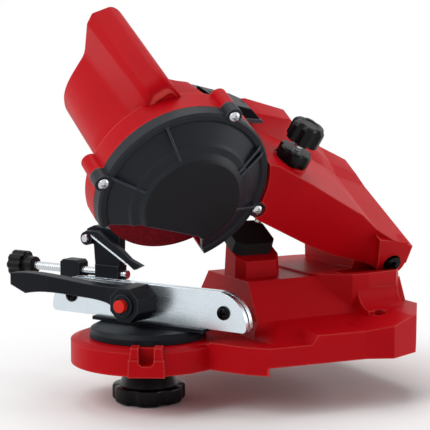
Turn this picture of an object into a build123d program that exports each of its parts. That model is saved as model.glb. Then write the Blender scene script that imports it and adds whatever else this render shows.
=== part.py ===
from build123d import *
import os
from math import atan2, cos, degrees, hypot, pi, radians, sin, tan

# Bench-mounted electric sharpener for saw chains, in millimetres.
# +Z is up, the bench top is Z = 0, and the origin is midway between the two bench bolts.
# The operator stands at -Y, facing the vice. The head hinges at the rear.

os.makedirs("parts", exist_ok=True)

# ---------------------------------------------------------------- driving dimensions

# general
wall = 3.0                 # moulded wall of the base and the head
run_gap = 0.05             # radial clearance of a running fit
loose_gap = 0.3            # clearance between neighbours that only pass each other

# layout
turntable_y = -146.0       # vice swivel axis, measured from the bench bolts
cut_z = 58.5               # height of the point where the wheel meets the chain
head_tilt = 30.0           # lean of the grinding plane from the vertical
vice_turn = 30.0           # swivel of the vice as drawn

# grinding wheel and spindle
wheel_d = 108.0
wheel_bore_d = 23.0
wheel_t = 3.2
wheel_u = 3.8              # wheel axis with the head raised, behind the cutting point
wheel_v = 72.3             # and above it, both in the grinding plane
spindle_d = 10.0
rear_journal_d = 8.0
flange_d = 36.0
flange_t = 4.0
nut_af = 17.0

# head hinge
hinge_u = 173.0
hinge_v = 16.7
swing = 6.4                # degrees from raised to the depth stop
pivot_d = 8.0
ear_r = 12.0
lug_r = 9.0
near_ear_w = 38.0          # outer face of the near ear, along the spindle direction
near_lug_w = 26.5
far_lug_w = -49.5
far_ear_w = -58.0
spring_gap_near_w = 6.0
spring_gap_far_w = -29.0

# return spring round the pivot
spring_wire = 2.2
spring_r = 7.6
spring_turns = 7
spring_low_w = -22.0
spring_high_w = spring_low_w + spring_turns * (spring_wire + 0.4)

# guard and back plate
guard_r = 59.5
guard_wall = 2.5
plate_back_w = -9.0
plate_front_w = -6.0
guard_joint_w = 7.0
guard_rim_w = 16.0
guard_hub_r = 33.0
guard_hub_w = 30.0
guard_screw_angles = (170.5, 71.0, -16.5)
guard_screw_d = 4.0
guard_screw_head_r = 3.9
guard_ear_r = 5.8
guard_rib_t = 1.6
guard_rib_angles = (165.5, 117.0, 37.0, 31.0, -14.0)

# motor
motor_end_w = -84.5
stator_r = 25.0
armature_r = 14.0
armature_near_w = -28.0
armature_far_w = -58.0
fan_r = 18.0
motor_bolt_r = 21.0        # the two long bolts stand this far from the spindle
motor_bolt_d = 4.0

# depth stop
rod_d = 6.0
rod_tip_u = 75.7
rod_tip_v = 32.4
rod_lean = 13.0            # degrees that the rod leans back from the head's upright
rod_length = 76.0
seat_h = 52.0              # height of the rod's seat on the head above the tip
lock_knob_h = 9.0
depth_knob_low_h = 68.0
depth_knob_h = 14.0
stop_knob_r = 12.0
pad_t = 9.0
pad_gap = 0.2

# base
lip_drop = 5.3             # the front hangs this far below the bench top
platform_r = 53.0
index_r = 56.0             # face of the index pillar on the platform rim
index_t = 11.0
index_angle = -30.0
index_shift = 3.3          # the pillar stands this far towards the rear
platform_z = 12.0
bench_edge_y = -99.0
rear_y = 36.0
body_top_z = 48.5
body_low_z = 23.5
body_x = 6.5               # middle of the raised body
body_top_half = 28.5
body_low_half = 45.5
skirt_z = 13.0
skirt_half = 84.0
ledge_z = 19.0
foot_z = 26.0
shoulder_x = 50.0
shoulder_z = 50.0
cove_r = 14.0
rib_t = 2.5
rib_pitch = 24
ear_gap = 1.2              # clearance of the head's ear in its pocket
column_x = 9.0
column_y = -70.0
column_top = (24.0, 31.0)
column_foot = (28.0, 38.0)
bolt_x = 66.0
bolt_hole_d = 8.5

# vice
turntable_r = 39.5
turntable_low_z = 12.5
turntable_top_z = 19.0
scale_r = 41.5             # raised sector that carries the angle scale
spigot_r = 12.0
rail_half = 80.0
rail_end_r = 22.0
rail_foot_r = 3.0
rail_low_z = 21.5
rail_top_z = 47.0
rail_t = 3.5
slot_half = 0.8            # half of the slot that takes the chain's drive links
rail_screw_s = 63.0
rail_screw_z = 33.5
rail_screw_d = 6.0
clamp_s = -2.0
clamp_z = 35.5
clamp_d = 8.0
clamp_hub_r = 12.0
clamp_hub_len = 23.0
lever_insert_r = 6.0
lever_insert_t = 14.0
button_r = 4.2
feed_d_off = -9.5          # feed screw axis behind the rail slot
feed_z = 49.5
feed_rod_d = 6.0
feed_block_t = 10.5
carriage_t = 10.4
post_t = 8.0               # post of the carriage, behind the rail
feed_knob_r = 10.2
feed_knob_t = 12.0
feed_end_s = -24.0
feed_near_s = -127.0
pawl_s = -51.5
pawl_z = 74.5
pawl_pin_d = 4.0
lock_stud_d = 8.0
lock_knob_r = 25.0
lock_knob_low_z = -33.5
lock_rim_t = 11.0
washer_t = 2.45

# ---------------------------------------------------------------- frames

spindle_dir = Vector(cos(radians(head_tilt)), 0, -sin(radians(head_tilt)))
cut_point = Vector(0, turntable_y, cut_z)
grinding_plane = Plane(origin=cut_point, x_dir=(0, 1, 0), z_dir=spindle_dir)


def head_at(u, v, w):
    """Plane across the spindle direction: u to the rear, v up, w out of the wheel."""
    centre = grinding_plane.from_local_coords(Vector(u, v, w))
    return Plane(origin=centre, x_dir=(0, 1, 0), z_dir=spindle_dir)


def on_spindle(w):
    return head_at(wheel_u, wheel_v, w)


def on_hinge(w):
    return head_at(hinge_u, hinge_v, w)


rail_dir = Vector(cos(radians(vice_turn)), sin(radians(vice_turn)), 0)
rail_out = Vector(sin(radians(vice_turn)), -cos(radians(vice_turn)), 0)


def vice_at(s, z, d):
    """Plane across the rail: s along it, z up, d out of its slot to the operator."""
    centre = Vector(0, turntable_y, 0) + rail_dir * s + rail_out * d + Vector(0, 0, z)
    return Plane(origin=centre, x_dir=rail_dir, z_dir=rail_out)


def across_rail(s, z, d):
    """Plane whose normal runs along the rail."""
    centre = Vector(0, turntable_y, 0) + rail_dir * s + rail_out * d + Vector(0, 0, z)
    return Plane(origin=centre, x_dir=rail_out * -1, z_dir=rail_dir)


def on_turntable(z):
    return Plane.XY.offset(z).move(Location((0, turntable_y, 0)))


rod_up = Vector(0, sin(radians(rod_lean)), 0) + grinding_plane.y_dir * cos(radians(rod_lean))


def on_rod(h):
    tip = grinding_plane.from_local_coords(Vector(rod_tip_u, rod_tip_v, 0))
    return Plane(origin=tip + rod_up * h, x_dir=spindle_dir, z_dir=rod_up)


def swung(u, v, angle):
    """Where a point of the head goes when the head swings down by an angle."""
    turn = atan2(v - hinge_v, u - hinge_u) + radians(angle)
    reach = hypot(u - hinge_u, v - hinge_v)
    return hinge_u + reach * cos(turn), hinge_v + reach * sin(turn)


def finish(part, label):
    part.part.label = label
    export_step(part.part, "parts/" + label + ".step")


landing_u, landing_v = swung(rod_tip_u, rod_tip_v, swing)
pad_v = landing_v - pad_gap

# ---------------------------------------------------------------- base housing

neck = [(46, turntable_y - 4), (46, -126), (73, -110), (skirt_half, bench_edge_y)]
skirt_side = neck + [(87, -65), (90.5, -28), (98, -11), (89, 13.5), (60, rear_y)]
ledge_low = [(78, -94), (82, -64), (88, -28), (88, 6), (56, rear_y - 3)]
ledge_high = [(52, -90), (52, -64), (52, -28), (52, 5), (48, rear_y - 6)]
# side view of the skirt: low at the front, a raised ledge, then up to the foot at the rear
skirt_rise = [
    (turntable_y - 5, -1), (turntable_y - 5, skirt_z), (-68, skirt_z), (-64, ledge_z), (-28, ledge_z),
    (10, foot_z), (rear_y - 2, foot_z + 2), (rear_y + 1, -1),
]


def mirrored(points):
    return points + [(-x, y) for x, y in reversed(points)]


def shifted(points, dx):
    return [(x + dx, y) for x, y in points]


post_front_y = turntable_y + hinge_u - 24.0
post_rear_y = turntable_y + hinge_u + lug_r
bush_r = pivot_d / 2 + 2
near_end = on_hinge(near_lug_w).origin
far_end = on_hinge(far_lug_w).origin
lug_rise = grinding_plane.y_dir * lug_r
body_box = [(body_low_half, -90), (body_low_half, rear_y - 6)]
body_roof = [(body_top_half, -88), (body_top_half, rear_y - 8)]
shoulder_plan = [
    (30, -36), (36, -32), (shoulder_x, -12.5), (shoulder_x, 1), (shoulder_x - 3, 27), (40, rear_y - 2),
]

pad_plane = Plane(
    origin=grinding_plane.from_local_coords(Vector(landing_u, pad_v, 0)),
    x_dir=spindle_dir,
    z_dir=grinding_plane.y_dir,
)
column_roof_z = pad_plane.origin.Z + 14

# hollow of the underside, with ribs left standing and bosses round the bolts
with BuildPart() as base_core:
    with BuildSketch(Plane.XY.offset(-lip_drop - 1)):
        with BuildLine():
            Polyline(*mirrored(skirt_side), close=True)
        make_face()
        offset(amount=-wall, kind=Kind.INTERSECTION)
    extrude(amount=lip_drop + 1 + platform_z - wall)
    with BuildSketch(Plane.XY.offset(platform_z - wall - 1)):
        with BuildLine():
            Polyline(*shifted(mirrored(body_box), body_x), close=True)
        make_face()
        offset(amount=-wall - 4, kind=Kind.INTERSECTION)
    with BuildSketch(Plane.XY.offset(body_top_z - wall)):
        with BuildLine():
            Polyline(*shifted(mirrored(body_roof), body_x), close=True)
        make_face()
        offset(amount=-wall - 1, kind=Kind.INTERSECTION)
    loft(ruled=True)
    with BuildSketch(Plane.XY.offset(-lip_drop - 1)):
        for y in range(-80, 17, rib_pitch):
            with Locations((0, y)):
                Rectangle(240, rib_t)
        for x in (body_x - 64, body_x - 32, body_x, body_x + 32, body_x + 64):
            with Locations((x, -30)):
                Rectangle(rib_t, 140)
        with Locations((bolt_x, 0), (-bolt_x, 0)):
            Circle(bolt_hole_d / 2 + 7)
        with Locations((0, turntable_y)):
            Circle(spigot_r + 8)
    extrude(amount=80, mode=Mode.SUBTRACT)

with BuildPart() as base_housing:
    # skirt on the bench; the lip at the front hangs past the bench edge
    with BuildSketch(Plane.XY):
        with BuildLine():
            Polyline(*mirrored(skirt_side), close=True)
        make_face()
    extrude(amount=foot_z + 4)
    with BuildSketch(Plane.YZ.offset(-110)):
        with BuildLine():
            Polyline(*skirt_rise, close=True)
        make_face()
    extrude(amount=220, mode=Mode.INTERSECT)
    with BuildSketch(Plane.XY.offset(-lip_drop)):
        with BuildLine():
            Polyline(*mirrored(neck), close=True)
        make_face()
    extrude(amount=lip_drop)
    # round platform under the turntable
    with BuildSketch(on_turntable(-lip_drop)):
        Circle(platform_r)
    extrude(amount=lip_drop + platform_z - 2)
    with BuildSketch(on_turntable(platform_z - 2)):
        Circle(platform_r)
    extrude(amount=2, taper=70)
    with BuildSketch(on_turntable(platform_z)):
        Circle(platform_r)
    extrude(amount=20, mode=Mode.SUBTRACT)
    # index pillar on the rim, with the notch that the pointer is read in
    index_out = Vector(cos(radians(index_angle)), sin(radians(index_angle)), 0)
    index_face = Plane(
        origin=Vector(0, turntable_y, -lip_drop) + index_out * index_r,
        x_dir=(-index_out.Y, index_out.X, 0),
        z_dir=index_out,
    )
    with BuildSketch(index_face):
        with Locations((index_shift, 0)):
            Polygon((-12, 0), (12, 0), (11.6, 11.5), (-11.6, 11.5), align=None)
    extrude(amount=-index_t)
    with BuildSketch(index_face.offset(-1)):
        with Locations((index_shift, 0)):
            Polygon((-11, 11), (11, 11), (10.2, 19.3), (-10.2, 19.3), align=None)
    extrude(amount=1 - index_t)
    with BuildSketch(index_face.offset(1)):
        with Locations((index_shift, 0)):
            Polygon((-5.2, 20), (-4.8, 9.5), (-3, 7.5), (3, 7.5), (4.8, 9.5), (5.2, 20), align=None)
    extrude(amount=-index_t - 2, mode=Mode.SUBTRACT)
    # slope from the skirt up to the foot of the body
    with BuildSketch(Plane.XY.offset(skirt_z - 1)):
        with BuildLine():
            Polyline(*mirrored(ledge_low), close=True)
        make_face()
    with BuildSketch(Plane.XY.offset(body_low_z)):
        with BuildLine():
            Polyline(*mirrored(ledge_high), close=True)
        make_face()
    loft(ruled=True)
    # body between the column and the hinge post
    with BuildSketch(Plane.XY.offset(body_low_z)):
        with BuildLine():
            Polyline(*shifted(mirrored(body_box), body_x), close=True)
        make_face()
    with BuildSketch(Plane.XY.offset(body_top_z)):
        with BuildLine():
            Polyline(*shifted(mirrored(body_roof), body_x), close=True)
        make_face()
    loft(ruled=True)
    # shoulders beside the hinge, with a cove down to the feet
    with BuildSketch(Plane.XY.offset(ledge_z)):
        with BuildLine():
            Polyline(*mirrored(shoulder_plan), close=True)
        make_face()
    extrude(amount=shoulder_z - ledge_z)
    for side in (1, -1):
        with BuildSketch(Plane.XZ.offset(8)):
            with Locations((side * (shoulder_x + cove_r / 2 - 1), ledge_z + (foot_z + cove_r - ledge_z) / 2)):
                Rectangle(cove_r + 2, foot_z + cove_r - ledge_z)
            with Locations((side * (shoulder_x + cove_r), foot_z + cove_r)):
                Circle(cove_r, mode=Mode.SUBTRACT)
        extrude(amount=-34)
    # column that carries the stop pad
    with BuildSketch(Plane.XY.offset(body_low_z)):
        with Locations((column_x, column_y)):
            foot = Rectangle(*column_foot)
        chamfer(foot.vertices(), 6)
    with BuildSketch(Plane.XY.offset(column_roof_z)):
        with Locations((column_x, column_y)):
            top = Rectangle(*column_top)
        chamfer(top.vertices(), 5)
    loft(ruled=True)
    with BuildSketch(pad_plane.offset(-pad_t)):
        Rectangle(90, 60)
    extrude(amount=60, mode=Mode.SUBTRACT)
    # hinge post: a wedge that climbs to the far side with the hinge axis
    with BuildSketch(Plane.XZ.offset(-post_rear_y)):
        with BuildLine():
            Polyline(
                (near_end.X + lug_rise.X, near_end.Z + lug_rise.Z),
                (far_end.X + lug_rise.X, far_end.Z + lug_rise.Z),
                (far_end.X - lug_rise.X, far_end.Z - lug_rise.Z),
                (far_end.X - 1, body_low_z),
                (body_x + body_low_half - 4, body_low_z),
                (near_end.X - lug_rise.X + 8, near_end.Z - lug_rise.Z),
                close=True,
            )
        make_face()
    extrude(amount=post_rear_y - post_front_y)
    # room for the return spring, open to the top and the rear
    with BuildSketch(on_hinge(spring_gap_far_w)):
        with Locations((6, 6)):
            Rectangle(34, 34)
    extrude(amount=spring_gap_near_w - spring_gap_far_w, mode=Mode.SUBTRACT)
    with BuildSketch(on_hinge(spring_low_w)):
        with Locations((-12, -spring_r)):
            Rectangle(16, spring_wire + 1)
    extrude(amount=spring_wire + 2, mode=Mode.SUBTRACT)
    # faces square to the hinge, so that the ears pass the post
    with BuildSketch(on_hinge(near_lug_w)):
        Circle(ear_r + ear_gap)
        with Locations((-10, 16)):
            Rectangle(64, 56)
    extrude(amount=near_ear_w + 3 - near_lug_w, mode=Mode.SUBTRACT)
    with BuildSketch(on_hinge(far_lug_w)):
        with Locations((-5, 4)):
            Rectangle(70, 46)
    extrude(amount=-40, mode=Mode.SUBTRACT)
    add(base_core.part, mode=Mode.SUBTRACT)
    # bores for the hinge bushes, the swivel and the bench bolts
    with BuildSketch(on_hinge(far_lug_w - 1)):
        Circle(bush_r)
    extrude(amount=near_lug_w - far_lug_w + 2, mode=Mode.SUBTRACT)
    with BuildSketch(on_turntable(-lip_drop)):
        Circle(spigot_r + run_gap)
    extrude(amount=60, mode=Mode.SUBTRACT)
    with BuildSketch(Plane.XY.offset(-1)):
        with Locations((bolt_x, 0), (-bolt_x, 0)):
            Circle(bolt_hole_d / 2)
    extrude(amount=60, mode=Mode.SUBTRACT)
finish(base_housing, "base_housing")

with BuildPart() as stop_pad:
    with BuildSketch(pad_plane.offset(-pad_t)):
        with Locations((-3, 0)):
            cap = Rectangle(column_top[0] / cos(radians(head_tilt)) + 1, column_top[1] + 1)
        chamfer(cap.vertices(), 5)
    extrude(amount=pad_t, taper=4)
finish(stop_pad, "stop_pad")

bush_flange_t = 1.0
with BuildPart() as hinge_bushes:
    for low, high, flange in (
        (spring_gap_near_w, near_lug_w, near_lug_w),
        (far_lug_w, spring_gap_far_w, far_lug_w - bush_flange_t),
    ):
        with BuildSketch(on_hinge(low)):
            Circle(bush_r)
        extrude(amount=high - low)
        with BuildSketch(on_hinge(flange)):
            Circle(bush_r + 2)
        extrude(amount=bush_flange_t)
    with BuildSketch(on_hinge(far_lug_w - 2)):
        Circle(pivot_d / 2 + run_gap)
    extrude(amount=near_lug_w - far_lug_w + 4, mode=Mode.SUBTRACT)
finish(hinge_bushes, "hinge_bushes")

# torsion spring round the pivot: a closed wavy sleeve with its two legs
with BuildPart() as return_spring:
    sleeve_plane = Plane(
        origin=on_hinge(0).origin, x_dir=grinding_plane.y_dir, z_dir=Vector(0, -1, 0)
    )
    with BuildSketch(sleeve_plane):
        with BuildLine():
            Polyline(
                (spring_r - spring_wire / 2, -spring_low_w), (spring_r + spring_wire / 2, -spring_low_w),
                (spring_r + spring_wire / 2, -spring_high_w), (spring_r - spring_wire / 2, -spring_high_w),
                close=True,
            )
        make_face()
    revolve(axis=Axis(on_hinge(0).origin, spindle_dir))
    # one leg rests on the base, the other lifts the roof of the head
    with BuildSketch(on_hinge(spring_low_w + 1.2)):
        with Locations((-6, -spring_r)):
            Rectangle(14, spring_wire)
    extrude(amount=spring_wire)
    with BuildSketch(on_hinge(spring_high_w - spring_wire - 1.2)):
        with Locations((-spring_r, 8)):
            Rectangle(spring_wire, 18)
    extrude(amount=spring_wire)
finish(return_spring, "return_spring")

# ---------------------------------------------------------------- head housing

cover_front = [
    (-35, 38), (-33, 45), (-22, 48), (0, 50), (14, 63), (17, 66),
    (29, 66), (32, 61), (32, 0), (28, -18), (0, -33), (-28, -18),
]
cover_end = [
    (-36, 31), (-31, 43), (-22, 51), (-3, 61), (11, 79), (16.5, 84),
    (30, 80), (32.5, 74), (32.5, 0), (28, -18), (0, -33), (-28, -18),
]


def cover_outline(share, grip_top):
    """Outline of the motor cover part of the way to its end, with the grip's top given."""
    outline = []
    for (s_a, t_a), (s_b, t_b) in zip(cover_front, cover_end):
        outline.append((s_a + (s_b - s_a) * share, t_a + (t_b - t_a) * share))
    for i in (4, 5, 6, 7):
        s_i, t_i = outline[i]
        outline[i] = (s_i, t_i + grip_top)
    return outline


cover_sections = [(plate_back_w, cover_outline(0, -7))]
for share, grip_top in ((0.035, -2.5), (0.1, 0.6), (0.2, 1.2), (1.0, 0)):
    cover_sections.append((plate_back_w + (motor_end_w - plate_back_w) * share, cover_outline(share, grip_top)))
end_round = 2.5
gland_spot = (-14, 34)
grip_lean = atan2(0.656, 0.755)


def leaning(w):
    """Plane on the spindle, turned so that its second axis runs up the grip."""
    across = on_spindle(w)
    s_dir = across.x_dir * cos(grip_lean) + across.y_dir * sin(grip_lean)
    return Plane(origin=across.origin, x_dir=s_dir, z_dir=spindle_dir)


# the guard is open below this line, where the wheel comes out
mouth = [(-70, 41), (-53, 46), (-24, 57), (12.5, 47), (17, 44), (31, 20), (34, 5), (34, -40), (-70, -40)]
ear_u = [
    (wheel_u + 60 * cos(radians(a)), wheel_v + 60 * sin(radians(a))) for a in guard_screw_angles
]

hood_sections = (
    (near_ear_w, [(45, 94), (58.5, 92.2), (67.7, 90.5), (94.5, 77.6), (120, 64.5), (140.5, 54.2),
                  (155, 42.5), (186, 31)]),
    (-30.0, [(45, 95), (58.5, 93), (70, 91), (96, 79.5), (121, 66), (141, 55.5), (154, 47), (183, 36)]),
    (-42.0, [(45, 96), (60, 95), (75.5, 95.6), (108, 88.7), (124, 72.5), (141, 60), (153.5, 51), (181, 39.5)]),
    (far_ear_w, [(45, 97), (60, 96.5), (76, 97.5), (110.7, 87.5), (125.6, 73.2), (140, 63), (153, 54.4),
                 (179.7, 41.8)]),
)
hood_foot = [(186, 16), (166, 11), (145, 15.7), (129, 19), (108, 26.6), (65.7, 46.2), (45, 58)]
near_wall = [(30, 12), (60, 16.5), (155, 31), (166, near_ear_w), (200, near_ear_w)]
beside_guard = Plane(origin=head_at(0, -20, 0).origin, x_dir=(0, 1, 0), z_dir=grinding_plane.y_dir)

# hollow of the hood, open below and at the rear
with BuildPart() as hood_core:
    for (w_a, top_a), (w_b, top_b) in zip(hood_sections[:-1], hood_sections[1:]):
        w_end = w_b if w_b > far_ear_w else w_b + wall
        for w, top in ((w_a, top_a), (w_end, top_b)):
            roof = [(u, v - wall) for u, v in top[1:]]
            roof[0] = (64, roof[0][1])
            with BuildSketch(head_at(0, 0, w)):
                with BuildLine():
                    Polyline(*roof, (205, roof[-1][1]), (205, -30), (64, -30), close=True)
                make_face()
        loft(ruled=True)
    with BuildSketch(beside_guard):
        with BuildLine():
            Polyline(*[(u, -w + wall) for u, w in near_wall], (200, -90), (30, -90), close=True)
        make_face()
    extrude(amount=150, mode=Mode.SUBTRACT)
    # the ears stay solid
    with BuildSketch(head_at(0, 0, near_lug_w + bush_flange_t + loose_gap)):
        Polygon((150, 0), (205, 0), (205, 60), (150, 60), align=None)
    extrude(amount=30, mode=Mode.SUBTRACT)
    with BuildSketch(head_at(0, 0, far_lug_w - bush_flange_t - loose_gap)):
        Polygon((150, 0), (205, 0), (205, 60), (150, 60), align=None)
    extrude(amount=-30, mode=Mode.SUBTRACT)

bearing_r = 13.0
bearing_w = (-15.0, -7.0)
boss_r = 8.5
cover_wall = 2.5

with BuildPart() as head_housing:
    # hood over the column and the hinge
    for (w_a, top_a), (w_b, top_b) in zip(hood_sections[:-1], hood_sections[1:]):
        for w, top in ((w_a, top_a), (w_b, top_b)):
            with BuildSketch(head_at(0, 0, w)):
                with BuildLine():
                    Polyline(*top, *hood_foot, close=True)
                make_face()
        loft(ruled=True)
    with BuildSketch(beside_guard):
        with BuildLine():
            Polyline(*[(u, -w) for u, w in near_wall], (200, -90), (30, -90), close=True)
        make_face()
    extrude(amount=150, mode=Mode.SUBTRACT)
    add(hood_core.part, mode=Mode.SUBTRACT)
    # ring and back plate of the guard, widened to seat the motor cover
    with BuildSketch(on_spindle(plate_back_w)):
        Circle(guard_r)
    extrude(amount=guard_joint_w - plate_back_w)
    with BuildSketch(leaning(plate_back_w)):
        with BuildLine():
            Polyline(*cover_sections[0][1], close=True)
        make_face()
    extrude(amount=plate_front_w - plate_back_w)
    with BuildSketch(head_at(0, 0, plate_back_w)):
        with Locations(*ear_u):
            Circle(guard_ear_r)
    extrude(amount=guard_joint_w - plate_back_w)
    with BuildSketch(on_spindle(plate_front_w)):
        Circle(guard_r - guard_wall)
    extrude(amount=guard_joint_w - plate_front_w, mode=Mode.SUBTRACT)
    with BuildSketch(on_spindle(guard_joint_w)):
        Circle(guard_r + loose_gap)
        with Locations(*[(u - wheel_u, v - wheel_v) for u, v in ear_u]):
            Circle(guard_ear_r + loose_gap)
    extrude(amount=40, mode=Mode.SUBTRACT)
    with BuildSketch(head_at(0, 0, plate_back_w - 1)):
        with BuildLine():
            Polyline(*mouth, close=True)
        make_face()
    extrude(amount=40, mode=Mode.SUBTRACT)
    # seat of the front bearing
    with BuildSketch(on_spindle(bearing_w[0] - 1)):
        Circle(bearing_r + wall)
    extrude(amount=plate_back_w - bearing_w[0] + 1)
    with BuildSketch(on_spindle(bearing_w[0] - 2)):
        Circle(bearing_r)
    extrude(amount=bearing_w[1] - bearing_w[0] + 2, mode=Mode.SUBTRACT)
    with BuildSketch(on_spindle(bearing_w[1] - 1)):
        Circle(bearing_r - wall)
    extrude(amount=20, mode=Mode.SUBTRACT)
    # holes for the guard screws
    with BuildSketch(head_at(0, 0, plate_back_w - 1)):
        with Locations(*ear_u):
            Circle(guard_screw_d / 2)
    extrude(amount=40, mode=Mode.SUBTRACT)
    # ears on the pivot
    for low, high in (
        (near_lug_w + bush_flange_t + loose_gap, near_ear_w),
        (far_ear_w, far_lug_w - bush_flange_t - loose_gap),
    ):
        with BuildSketch(on_hinge(low)):
            Circle(ear_r)
            with BuildLine():
                Polyline((-12, 0), (-18, 22), (8, 18), (12, 0), close=True)
            make_face()
        extrude(amount=high - low)
    with BuildSketch(on_hinge(far_ear_w - 1)):
        Circle(pivot_d / 2)
    extrude(amount=near_ear_w - far_ear_w + 2, mode=Mode.SUBTRACT)
    with BuildSketch(on_hinge(near_ear_w - 3)):
        Circle(7)
    extrude(amount=10, mode=Mode.SUBTRACT)
    # boss of the depth stop
    with BuildSketch(on_rod(22)):
        Circle(boss_r)
    extrude(amount=seat_h - 22)
    with BuildSketch(on_rod(seat_h - 6)):
        Circle(stop_knob_r + 0.5)
    extrude(amount=6)
    with BuildSketch(on_rod(seat_h)):
        Circle(stop_knob_r + 1)
    extrude(amount=15, mode=Mode.SUBTRACT)
    with BuildSketch(on_rod(20)):
        Circle(5)
    extrude(amount=60, mode=Mode.SUBTRACT)
finish(head_housing, "head_housing")

with BuildPart() as depth_insert:
    with BuildSketch(on_rod(22)):
        Circle(5)
        Circle(rod_d / 2 + run_gap, mode=Mode.SUBTRACT)
    extrude(amount=seat_h - 22)
finish(depth_insert, "depth_insert")

# ribs that stand on the cone of the guard, from its hub to its rim
guard_section = Plane(origin=on_spindle(0).origin, x_dir=(0, 1, 0), z_dir=grinding_plane.y_dir * -1)
with BuildPart() as guard_ribs:
    with BuildSketch(guard_section):
        with BuildLine():
            Polyline(
                (guard_hub_r + 1, guard_hub_w - 6), (guard_hub_r + 1, guard_hub_w - 3),
                (guard_r - 6, guard_rim_w + 2.5), (guard_r - 2.5, guard_rim_w),
                (guard_r - 4, guard_rim_w - 1.5), close=True,
            )
        make_face()
    revolve(axis=Axis(on_spindle(0).origin, spindle_dir))
    with BuildSketch(on_spindle(guard_joint_w)):
        for angle in guard_rib_angles:
            with PolarLocations(guard_r - 15, 1, start_angle=angle):
                Rectangle(26, guard_rib_t)
    extrude(amount=30, mode=Mode.INTERSECT)

with BuildPart() as guard_cover:
    with BuildSketch(guard_section):
        with BuildLine():
            Polyline(
                (guard_r - 2.5, guard_joint_w), (guard_r - 0.2, guard_joint_w),
                (guard_r - 0.4, guard_rim_w - 1.5), (guard_r - 1.5, guard_rim_w),
                (guard_r - 5, guard_rim_w), (guard_r - 6.5, guard_rim_w - 1),
                (guard_hub_r + 9, guard_hub_w - 8.2), (guard_hub_r + 7.5, guard_hub_w - 6.2),
                (guard_hub_r + 3, guard_hub_w - 5), (guard_hub_r, guard_hub_w - 1),
                (guard_hub_r - 1.5, guard_hub_w), (0, guard_hub_w), (0, guard_hub_w - 2.2),
                (guard_hub_r - 3, guard_hub_w - 2.2), (guard_hub_r + 1, guard_hub_w - 7.5),
                (guard_hub_r + 8, guard_hub_w - 10.5), (guard_r - 5, guard_rim_w - 3.5),
                (guard_r - 2.5, guard_rim_w - 4.5), close=True,
            )
        make_face()
    revolve(axis=Axis(on_spindle(0).origin, spindle_dir))
    add(guard_ribs.part)
    with BuildSketch(head_at(0, 0, guard_joint_w)):
        with Locations(*ear_u):
            Circle(guard_ear_r)
    extrude(amount=guard_rim_w - guard_joint_w)
    with BuildSketch(on_spindle(guard_joint_w - 1)):
        Circle(guard_r - 4.5)
    extrude(amount=6, mode=Mode.SUBTRACT)
    with BuildSketch(head_at(0, 0, guard_joint_w - 1)):
        with BuildLine():
            Polyline(*mouth, close=True)
        make_face()
    extrude(amount=40, mode=Mode.SUBTRACT)
    with BuildSketch(head_at(0, 0, guard_joint_w - 1)):
        with Locations(*ear_u):
            Circle(guard_screw_d / 2)
    extrude(amount=40, mode=Mode.SUBTRACT)
    with BuildSketch(head_at(0, 0, guard_rim_w)):
        with Locations(*ear_u):
            Circle(guard_screw_head_r + 0.4)
    extrude(amount=20, mode=Mode.SUBTRACT)
finish(guard_cover, "guard_cover")

with BuildPart() as guard_screws:
    with BuildSketch(head_at(0, 0, plate_back_w + 1)):
        with Locations(*ear_u):
            Circle(guard_screw_d / 2)
    extrude(amount=guard_rim_w - plate_back_w - 1)
    with BuildSketch(head_at(0, 0, guard_rim_w)):
        with Locations(*ear_u):
            Circle(guard_screw_head_r)
    extrude(amount=2.6, taper=20)
finish(guard_screws, "guard_screws")

cover_screw_spots = [(-27, 36), (22, 62), (26, 33)]
with BuildPart() as motor_cover:
    for (w_a, outline_a), (w_b, outline_b) in zip(cover_sections[:-1], cover_sections[1:]):
        for w, outline in ((w_a, outline_a), (w_b, outline_b)):
            with BuildSketch(leaning(w)):
                with BuildLine():
                    Polyline(*outline, close=True)
                make_face()
        loft(ruled=True)
    with BuildSketch(leaning(motor_end_w)):
        with BuildLine():
            Polyline(*cover_end, close=True)
        make_face()
    with BuildSketch(leaning(motor_end_w - end_round)):
        with BuildLine():
            Polyline(*cover_end, close=True)
        make_face()
        offset(amount=-end_round, kind=Kind.INTERSECTION)
    loft(ruled=True)
    # hollow inside, open to the back plate
    for w, outline in (cover_sections[0], cover_sections[-1]):
        with BuildSketch(leaning(w)):
            with BuildLine():
                Polyline(*outline, close=True)
            make_face()
            offset(amount=-cover_wall, kind=Kind.INTERSECTION)
    loft(ruled=True, mode=Mode.SUBTRACT)
    # screw pillars and the cord's hole in the end wall
    with BuildSketch(leaning(motor_end_w)):
        with Locations(*cover_screw_spots):
            Circle(4)
    extrude(amount=plate_back_w - motor_end_w)
    with BuildSketch(leaning(motor_end_w - 4)):
        with Locations(*cover_screw_spots):
            Circle(2)
    extrude(amount=90, mode=Mode.SUBTRACT)
    with BuildSketch(leaning(motor_end_w - 4)):
        with Locations(gland_spot):
            Circle(5)
    extrude(amount=6, mode=Mode.SUBTRACT)
    # cooling slots
    with BuildSketch(leaning(motor_end_w - 4)):
        for x in range(-12, 13, 6):
            with Locations((x, 0)):
                SlotOverall(26, 2.6, rotation=90)
    extrude(amount=6, mode=Mode.SUBTRACT)
finish(motor_cover, "motor_cover")

with BuildPart() as cover_screws:
    with BuildSketch(leaning(motor_end_w - end_round)):
        with Locations(*cover_screw_spots):
            Circle(2)
    extrude(amount=70)
    with BuildSketch(leaning(motor_end_w - end_round)):
        with Locations(*cover_screw_spots):
            Circle(3.6)
    extrude(amount=-2.4, taper=20)
finish(cover_screws, "cover_screws")

with BuildPart() as cable_gland:
    with BuildSketch(leaning(motor_end_w - end_round - 9)):
        with Locations(gland_spot):
            Circle(5)
            Circle(3.2, mode=Mode.SUBTRACT)
    extrude(amount=12)
    with BuildSketch(leaning(motor_end_w - end_round - 3)):
        with Locations(gland_spot):
            Circle(7)
            Circle(3.2, mode=Mode.SUBTRACT)
    extrude(amount=3)
finish(cable_gland, "cable_gland")

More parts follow.
